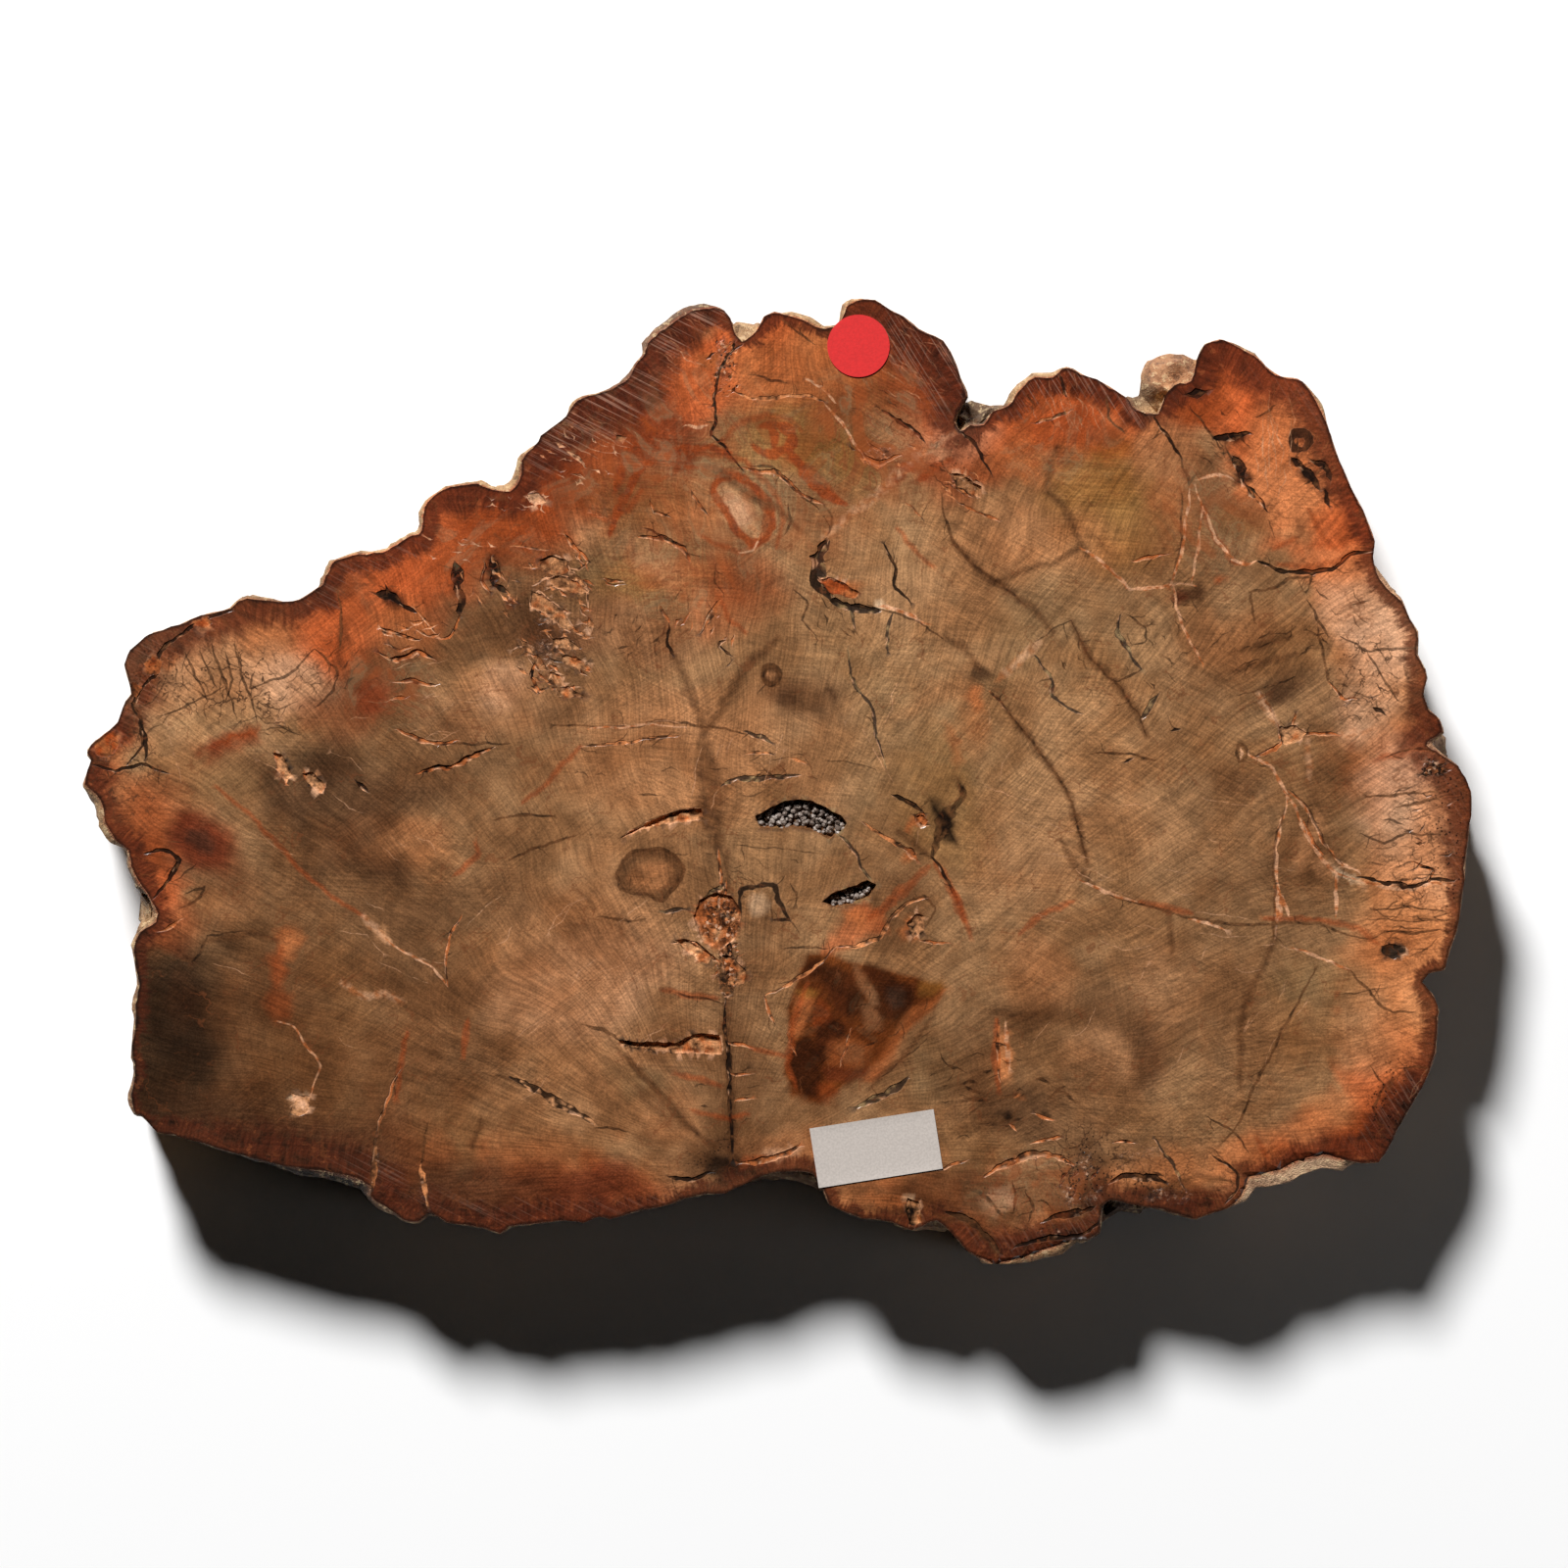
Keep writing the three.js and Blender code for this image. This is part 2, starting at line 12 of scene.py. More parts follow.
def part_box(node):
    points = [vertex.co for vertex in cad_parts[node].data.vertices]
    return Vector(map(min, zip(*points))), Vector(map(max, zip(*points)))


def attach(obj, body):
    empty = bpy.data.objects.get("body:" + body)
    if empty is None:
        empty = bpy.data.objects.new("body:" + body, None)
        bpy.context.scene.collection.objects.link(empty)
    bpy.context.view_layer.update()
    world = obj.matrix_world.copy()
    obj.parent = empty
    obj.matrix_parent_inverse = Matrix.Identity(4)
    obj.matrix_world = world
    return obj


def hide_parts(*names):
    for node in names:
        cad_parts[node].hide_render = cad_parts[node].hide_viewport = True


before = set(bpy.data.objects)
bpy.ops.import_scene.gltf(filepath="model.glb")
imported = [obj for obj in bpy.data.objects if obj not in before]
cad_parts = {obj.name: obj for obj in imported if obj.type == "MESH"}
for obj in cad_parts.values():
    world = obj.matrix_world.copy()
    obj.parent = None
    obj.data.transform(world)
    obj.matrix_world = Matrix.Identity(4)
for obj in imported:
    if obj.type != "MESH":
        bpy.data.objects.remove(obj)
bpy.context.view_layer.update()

bl_info = {
    "name": "Petrified wood slice",
    "version": (1, 0, 0),
    "blender": (4, 5, 0),
    "location": "3D View > Sidebar > Stone",
    "description": "Builds a polished slice of petrified wood with its stickers on a white table",
    "category": "Add Mesh",
}

MM = 0.001

# Places on the face are pixels of a straight-down view, x to the right and y down the page
VIEW_PIXELS = 1600
FACE_PIXELS = 1418
FACE_MIDDLE = (793, 797)

# Corners of the slab in metres, then the width of a pixel and the height of the face in mm, and the pith
SLAB_LOW, SLAB_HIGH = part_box("petrified_wood_slab")
PIXEL = (SLAB_HIGH[0] - SLAB_LOW[0]) / MM / FACE_PIXELS
TOP = SLAB_HIGH[2] / MM
PITH = (740, 1190)

# Where the dark outer band and the coloured zone inside it lie along the edge:
# place on the edge, widths of the band and of the zone in pixels, strength and colour of the zone
RIM_STATIONS = """
84,800 22 50 .6 rust
96,742 24 40 .8 copper
128,671 38 70 .3 blush
200,628 32 70 .6 rust
256,609 30 90 .7 copper
320,600 26 110 .7 rust
385,563 18 90 .9 flame
430,520 22 90 .9 flame
470,498 34 90 .9 rust
512,500 26 90 1 rust
545,450 40 110 1 brick
593,405 46 120 1 brick
650,365 40 110 1 brick
704,316 26 90 .9 brick
745,345 12 60 .9 flame
790,320 12 80 1 flame
840,345 8 80 1 copper
882,304 26 90 1 rust
940,336 44 90 1 brick
985,395 40 80 1 brick
1003,432 14 70 .9 rust
1060,384 20 70 1 rust
1124,388 24 90 1 rust
1178,421 14 60 1 rust
1223,360 36 120 1 rust
1280,362 36 120 1 flame
1343,408 34 100 1 flame
1380,500 30 90 1 flame
1401,544 20 90 1 flame
1418,600 12 80 .9 peach
1452,676 16 100 .8 peach
1470,740 26 70 .8 rust
1495,792 44 100 .8 copper
1500,850 32 90 .8 copper
1489,939 13 90 .8 peach
1475,990 10 90 .8 peach
1466,1064 18 100 .8 copper
1440,1132 34 90 .8 flame
1395,1187 34 70 .9 rust
1325,1185 18 50 .9 rust
1265,1222 18 56 .8 peach
1225,1236 30 60 .6 copper
1200,1240 24 60 .6 copper
1126,1231 20 70 .5 umber
1060,1278 30 60 .8 rust
1008,1287 30 60 .8 rust
930,1257 12 60 .9 copper
878,1243 10 60 .9 copper
838,1210 14 50 .5 copper
790,1197 16 50 .4 copper
740,1218 20 60 .3 walnut
680,1230 8 60 .4 copper
611,1242 20 56 .9 rust
540,1251 24 66 .9 rust
468,1250 26 90 .7 rust
400,1236 30 90 .8 brick
344,1199 44 90 .8 maroon
270,1185 40 70 .8 maroon
200,1166 26 50 .6 maroon
145,1140 8 30 .3 olive
135,1061 10 20 .3 olive
140,985 12 30 .6 umber
155,924 18 54 .8 flame
135,885 20 50 .8 rust
105,840 20 50 .7 rust
"""

# Soft tones of the stone, each over the ones before it: colour, middle, half width and half height in pixels,
# strength, and a turn in degrees where the patch is turned
BROAD_TONES = """
umber 245,1060 80x120 .85
olive 160,1070 66x140 .8
olive 190,1030 44x60 .7
olive 210,960 40x30 .5
walnut 255,1120 70x44 .5
honey 330,1060 80x110 .75
umber 400,1110 90x70 .35
walnut 285,1150 130x26 .4 -14
umber 320,1170 150x24 .5 -14
walnut 300,795 60x50 .7 35
olive 350,800 36x60 .45 25
walnut 335,880 70x24 .55 50
umber 330,900 110x70 .5 40
walnut 385,890 34x20 .6 -20
grey_brown 385,840 34x40 .5
umber 440,800 40x30 .5 10
umber 405,965 70x70 .5
sand 205,735 60x50 .8 20
ash 225,735 36x26 .45 20
sand 240,690 80x44 .75 12
blush 305,690 50x36 .55
clay 160,800 80x30 .6 25
rust 150,835 50x40 .5
clay 215,910 50x40 .5 40
copper 290,640 70x22 .5 12
rust 350,640 24x50 .6 -10
flame 332,630 34x42 .5
flame 420,590 50x40 .8 30
walnut 330,610 40x14 .5 15
rust 500,545 90x50 .6 35
copper 400,650 50x30 .45 10
umber 480,640 90x40 .6 10
umber 555,630 70x90 .5
umber 620,600 60x46 .5
umber 555,690 70x60 .5 30
umber 390,690 44x50 .65 10
sand 490,715 66x40 .8 10
blush 505,700 26x22 .35
copper 640,460 60x50 .45 30
brick 675,425 80x50 .6 30
honey 640,520 60x40 .5
sand 594,542 26x18 .6 -35
ash 620,590 36x24 .5 -20
clay 690,500 70x34 .5 -10
copper 690,585 60x26 .6 10
flame 735,625 36x34 .4
sand 668,570 40x30 .3
taupe 800,540 50x40 .6
flame 735,385 34x44 .6
copper 800,375 70x50 .75
ochre 830,450 80x50 .6
honey 870,440 60x60 .8
umber 880,490 60x30 .5 30
rust 930,400 50x40 .5 -40
brick 950,440 50x34 .5 20
clay 870,540 60x30 .6 20
ash 945,560 80x50 .55 -20
taupe 640,640 60x50 .5
ochre 640,600 36x26 .4
clay 690,780 150x60 .6
blush 600,1000 110x60 .45 20
clay 590,960 120x80 .6 20
clay 560,1080 180x110 .35
grey_brown 480,870 90x60 .3 20
grey_brown 420,1080 90x60 .4
sand 640,880 80x90 .2
taupe 900,760 110x110 .8
honey 1020,800 60x110 .3 20
sand 850,770 70x40 .2
umber 815,716 44x22 .75 -8
clay 1100,740 110x100 .3
sand 1050,860 80x80 .35 20
sand 1090,720 60x40 .3
ochre 965,820 40x80 .4 20
umber 1000,690 26x22 .85
copper 985,735 20x50 .5 10
copper 965,690 60x16 .35 30
flame 1300,420 70x60 .7
copper 1310,480 60x70 .75
flame 1365,500 30x60 .5 -20
honey 1262,520 34x34 .9
umber 1262,506 28x22 .5
umber 1215,500 18x50 .3 -10
grey_brown 1205,490 34x50 .8 -20
copper 1050,470 60x30 .5
rust 1075,430 70x30 .5
ochre 1125,515 60x70 .65
honey 1175,540 40x60 .6
clay 1060,550 80x50 .7
taupe 1240,640 110x70 .6
honey 1300,670 80x40 .6 10
grey_brown 1240,680 60x50 .4 20
walnut 1310,705 40x18 .45 20
blush 1400,640 50x60 .85
sand 1410,720 50x40 .6
grey_brown 1370,720 40x50 .5
honey 1250,770 60x30 .45
walnut 1262,795 26x22 .5
umber 1360,800 40x40 .6 30
umber 1328,895 50x80 .5
blush 1436,830 46x80 .7
peach 1462,880 26x90 .6
peach 1445,900 60x60 .5
copper 1440,960 60x40 .5
grey_brown 1250,840 70x80 .35
grey_brown 1220,1010 100x60 .5
honey 1345,1040 60x70 .7
ash 1340,1000 50x40 .4
sand 1395,1045 30x50 .6
peach 1425,1040 36x70 .7
flame 1420,1085 30x60 .25 15
peach 1340,1140 60x24 .6 20
rust 1340,1165 70x18 .5 16
grey_brown 1270,1100 50x60 .45
umber 1100,1020 50x34 .5
grey_brown 1150,1060 60x60 .6
plum 1163,1085 26x44 .5
sand 1120,1080 40x30 .5
clay 1050,1000 44x40 .7 20
umber 1030,1042 50x16 .6 10
grey_brown 1000,1110 60x50 .6
ash 950,1090 40x40 .45 30
honey 985,1180 60x50 .6
grey_brown 1090,1140 70x50 .6
grey_brown 1112,1200 34x50 .5
peach 1170,1200 50x20 .6
plum 1200,1236 50x12 .5
copper 1260,1190 50x30 .5
clay 1050,1225 60x30 .5
walnut 1010,1268 60x16 .5 10
umber 1095,1235 30x30 .6
umber 905,1224 50x24 .75
honey 740,620 26x60 .3
honey 780,880 50x80 .3
grey_brown 770,960 50x50 .4
umber 735,860 18x90 .35
umber 740,1080 26x110 .4
umber 772,1130 34x60 .55
walnut 738,1185 44x24 .7
umber 700,1160 60x30 .3 25
ash 660,1110 60x14 .5 -48
copper 560,1190 56x34 .5
honey 460,1150 60x60 .4
brick 400,1215 36x24 .6
honey 1000,640 60x60 .3
umber 1040,610 60x14 .4 -40
honey 1100,690 26x70 .3 -35
umber 455,775 100x56 .5 10
umber 430,720 110x24 .35
brick 200,866 50x34 .85 -20
umber 270,866 40x34 .35
clay 425,868 36x30 .6
umber 450,935 110x40 .6 10
umber 445,1005 80x36 .5
umber 275,1000 44x44 .6
umber 600,940 130x50 .3
umber 908,925 44x40 .65
umber 1255,935 50x40 .45
umber 490,1085 60x54 .5
umber 975,1085 50x50 .55
umber 1115,1075 50x40 .5
walnut 1045,1140 50x40 .65
umber 310,1140 130x40 .6 -10
walnut 470,1215 120x28 .7
brick 600,1215 120x26 .6
rust 765,588 46x34 .55
clay 975,600 50x60 .4
sand 1185,465 34x50 .5
flame 1098,437 66x28 .55
rust 1045,448 40x30 .5
flame 1325,445 40x40 .4
flame 345,655 40x36 .55
sand 690,722 54x26 .5
blush 1395,725 40x36 .5
peach 1465,935 24x40 .5
copper 790,392 120x30 .5
rust 868,420 50x30 .4
ochre 840,480 80x34 .3 -20
umber 878,436 40x44 .2
rust 560,515 140x50 .5 38
brick 668,442 70x40 .4 10
copper 692,517 60x30 .55
honey 645,505 56x40 .6
flame 985,446 50x30 .5
blush 980,446 34x28 .3
sand 950,590 80x130 .4
sand 920,450 36x30 .4
copper 415,640 40x30 .4
sand 740,728 190x36 .4
clay 1185,475 38x60 .5
copper 1185,520 36x34 .35
umber 1255,585 50x26 .35
clay 1255,650 50x36 .4
flame 1315,450 76x90 .55
peach 1318,475 54x80 .5
umber 282,1065 70x90 .55
walnut 212,893 56x36 .55 -30
walnut 250,1150 120x36 .75 -12
brick 350,725 54x38 .4
walnut 510,1224 150x26 .6
maroon 615,1217 60x24 .65
walnut 985,1218 100x34 .6
umber 1186,1190 40x60 .3
umber 500,1085 330x120 .13
umber 1050,1060 240x110 .15
umber 450,1075 80x60 .35 40
clay 385,862 60x30 .45
umber 1342,868 60x46 .5
umber 690,1080 44x60 .4
clay 690,1140 40x30 .6
umber 765,1040 34x60 .35
umber 835,1130 40x24 .3
brick 640,655 110x30 .25
sand 835,795 44x36 .3
sand 1115,795 140x44 .25 -45
sand 1185,1005 40x40 .3
sand 1395,1070 24x40 .4
sand 625,1075 40x34 .3
peach 1468,930 24x140 .5
blush 1466,865 26x60 .35
ash 1000,720 190x150 .28
ash 215,768 90x60 .35
sand 240,760 60x40 .3
"""

# Crisper patches, most of them small, in the same form
SMALL_TONES = """
brick 229,757 38x8 .95 24
rust 245,750 22x8 .6 24
rust 112,752 26x18 .8 20
flame 100,748 14x9 .5 30
brick 100,792 20x12 .5
copper 170,672 16x9 .7 20
copper 150,692 12x12 .7
copper 148,710 9x11 .6
copper 215,640 18x7 .6 20
maroon 202,856 38x26 .95 -40
plum 206,858 20x13 .9 -40
copper 294,962 15x20 .75 -25
rust 284,985 10x22 .6
rust 284,1025 13x20 .45
walnut 185,1020 14x36 .5
sand 391,956 6x15 .6 40
cream 304,1120 10x5 .55
sand 303,1131 8x7 .7
char 399,612 16x9 .85 -30
char 467,592 6x20 .85
char 504,582 7x17 .85 10
brick 378,712 20x16 .7
walnut 348,655 6x40 .5 -5
maroon 522,617 9x8 .7
walnut 545,640 16x40 .5 20
walnut 575,655 22x10 .5
blush 752,520 22x11 .5 -50
copper 722,368 12x8 .7
sand 722,340 9x6 .4
brick 925,475 8x6 .8
brick 940,488 7x5 .8
brick 952,476 8x5 .7
brick 968,468 8x6 .8
brick 918,490 7x6 .7
copper 862,598 20x6 .9 -15
cream 897,619 5x4 .9
copper 1048,477 14x12 .8
walnut 787,690 11x10 .8
sand 787,690 6x5 .9
walnut 846,708 7x5 .8
umber 818,714 20x13 .7 -4
walnut 800,712 14x12 .6
char 1001,688 11x9 .7
copper 996,712 9x14 .7
copper 975,760 7x24 .5 10
char 1220,401 11x4 .8 10
char 1253,446 20x4 .9
char 1268,486 9x8 .85
char 1262,470 6x8 .6
char 1336,486 9x8 .9
char 1349,473 6x5 .8
char 1322,472 6x5 .8
char 1353,503 4x9 .6
rust 1375,540 16x22 .4
walnut 1215,608 18x9 .9 5
maroon 1204,607 10x7 .6 5
rust 1246,590 6x4 .8
walnut 1305,708 14x8 .6 20
walnut 1317,750 12x7 .9
char 1462,785 13x6 .75 -10
charcoal 1424,970 15x7 .9
plum 1432,1138 11x42 .9 -24
char 1413,1125 6x26 .5 -20
char 1383,1164 7x5 .8
walnut 1395,1156 10x7 .6
rust 1366,1018 3x26 .5
peach 1024,1078 9x28 .8 4
char 1027,1140 8x5 .9
char 1066,1138 7x4 .7 20
copper 1040,1118 6x4 .8
umber 664,893 37x28 .55 10
clay 664,894 25x17 .75 10
umber 650,893 12x8 .5
copper 733,940 20x28 .9
cream 773,924 13x12 .35
char 962,838 15x27 .35 32
char 963,838 8x30 .95 30
char 980,806 4x9 .9
copper 941,837 8x6 .9 -40
copper 930,846 6x4 .8
copper 929,872 6x6 .9
copper 884,940 22x12 .3 10
copper 873,935 14x9 .6 -20
copper 932,946 12x10 .8 40
grey_brown 665,1125 44x8 .7 -46
blush 800,1176 18x6 .7 18
rust 770,1186 20x6 .6 10
char 738,1190 20x13 .85
charcoal 1112,1188 18x36 .25
maroon 1226,1224 34x12 .5 8
sand 1040,1188 34x6 .8 6
char 1075,1262 40x6 .7 14
copper 1075,1240 14x7 .6
char 1025,1270 30x9 .6 -14
blush 1020,1225 20x14 .4
cream 925,1223 9x4 .6 -20
copper 905,1225 26x8 .6 -8
walnut 335,1180 60x6 .4 -14
walnut 1180,1216 34x5 .7
char 1215,1228 30x6 .5
umber 1165,1096 10x20 .5
cream 1372,893 26x3 .5 -30
sand 1335,858 9x36 .6 -26
sand 1350,884 14x8 .6 -35
"""

# Patches with an outline of their own: colour, strength, softness of the edge in pixels, corners
ZONES = """
olive .5 30 136,960 175,965 205,985 222,1010 206,1040 202,1075 214,1110 195,1140 160,1150 142,1140 134,1060
walnut .6 14 243,778 262,770 285,788 300,812 318,790 345,768 380,785 440,806 470,796 450,822 415,838 \
392,858 360,874 330,858 312,870 282,832
walnut .45 12 330,885 350,862 380,866 402,880 415,906 390,908 360,900
amber .95 3 822,973 841,969 870,978 900,985 929,992 950,1000 972,1004 960,1020 935,1039 910,1064 \
891,1089 860,1114 835,1126 810,1120 800,1095 808,1070 806,1045 804,1026 814,1000
resin .4 6 815,985 870,980 940,1005 920,1040 880,1060 830,1060 808,1040
resin .9 3 823,975 836,973 840,984 838,994 828,998 822,988
resin .9 4 842,982 856,984 868,992 876,1004 882,1018 880,1034 868,1040 856,1034 846,1020 842,1006 838,994
resin 1 3 846,1008 862,1010 876,1020 880,1034 868,1040 854,1032
resin .85 4 884,978 898,982 912,992 914,1002 900,1004 888,998 880,988
resin 1 3 890,1004 908,998 928,1000 936,1010 930,1024 914,1036 898,1036 889,1024
charcoal .55 4 904,1004 918,1002 926,1010 922,1022 910,1026 903,1016
sand .3 3 870,980 876,982 886,1000 894,1012 896,1022 890,1024 880,1010 872,994
sand .25 4 880,1022 890,1024 898,1036 897,1048 888,1050 882,1038
copper .75 3 812,1012 824,1014 831,1022 828,1036 820,1050 812,1060 808,1048 810,1030
ochre .6 3 812,1009 826,1008 836,1015 832,1020 820,1018
rust .5 3 836,1022 846,1030 850,1044 840,1056 832,1048 832,1034
resin 1 3 838,1048 850,1042 864,1046 866,1058 856,1068 848,1082 840,1088 832,1078 832,1062
resin 1 3 812,1064 824,1056 832,1062 836,1084 842,1098 836,1118 820,1118 808,1104 806,1084
copper .35 3 846,1066 862,1060 880,1060 890,1066 886,1082 870,1090 850,1088 842,1078
sand .25 3 856,1070 872,1064 884,1068 878,1080 862,1084
maroon .6 3 842,1090 870,1090 898,1088 896,1098 870,1106 846,1104
rust .4 3 836,1106 850,1106 858,1116 848,1124 836,1122
copper .6 4 972,1003 956,1016 934,1022 916,1040 904,1058 896,1078 880,1100 888,1102 904,1086 916,1062 \
930,1044 950,1028
ochre .5 3 938,998 956,999 968,1004 956,1012 940,1014
flame .5 4 866,926 880,922 900,932 902,946 888,952 868,962 848,972 836,970 846,956 860,942
brick .7 4 205,775 222,762 240,752 262,746 266,754 246,764 226,774 208,782
brick .5 8 362,700 384,690 404,704 398,726 374,728
sand .4 6 578,540 596,532 612,548 606,564 590,562
sand .8 4 728,498 740,492 758,502 774,524 779,542 772,552 758,549 744,532 732,514
flame .55 8 672,385 712,362 756,372 752,412 716,432 690,420
umber .55 8 782,700 800,690 836,698 860,706 846,718 838,730 800,722 784,714
umber .4 14 1030,1040 1060,1020 1110,1020 1150,1040 1172,1070 1170,1100 1150,1112 1154,1085 1140,1056 \
1110,1044 1080,1056 1050,1060
sand .4 7 1085,1060 1110,1048 1135,1056 1150,1080 1152,1100 1138,1104 1120,1092 1096,1084
walnut .5 6 1290,700 1306,690 1330,700 1322,716 1296,720
blush .5 10 1345,590 1395,596 1424,640 1430,690 1396,700 1366,660 1340,630
rust .5 8 1345,1150 1390,1128 1412,1100 1440,1096 1446,1130 1412,1172 1360,1178
plum .8 6 1404,1180 1408,1150 1422,1120 1432,1092 1452,1098 1444,1135 1424,1165
"""

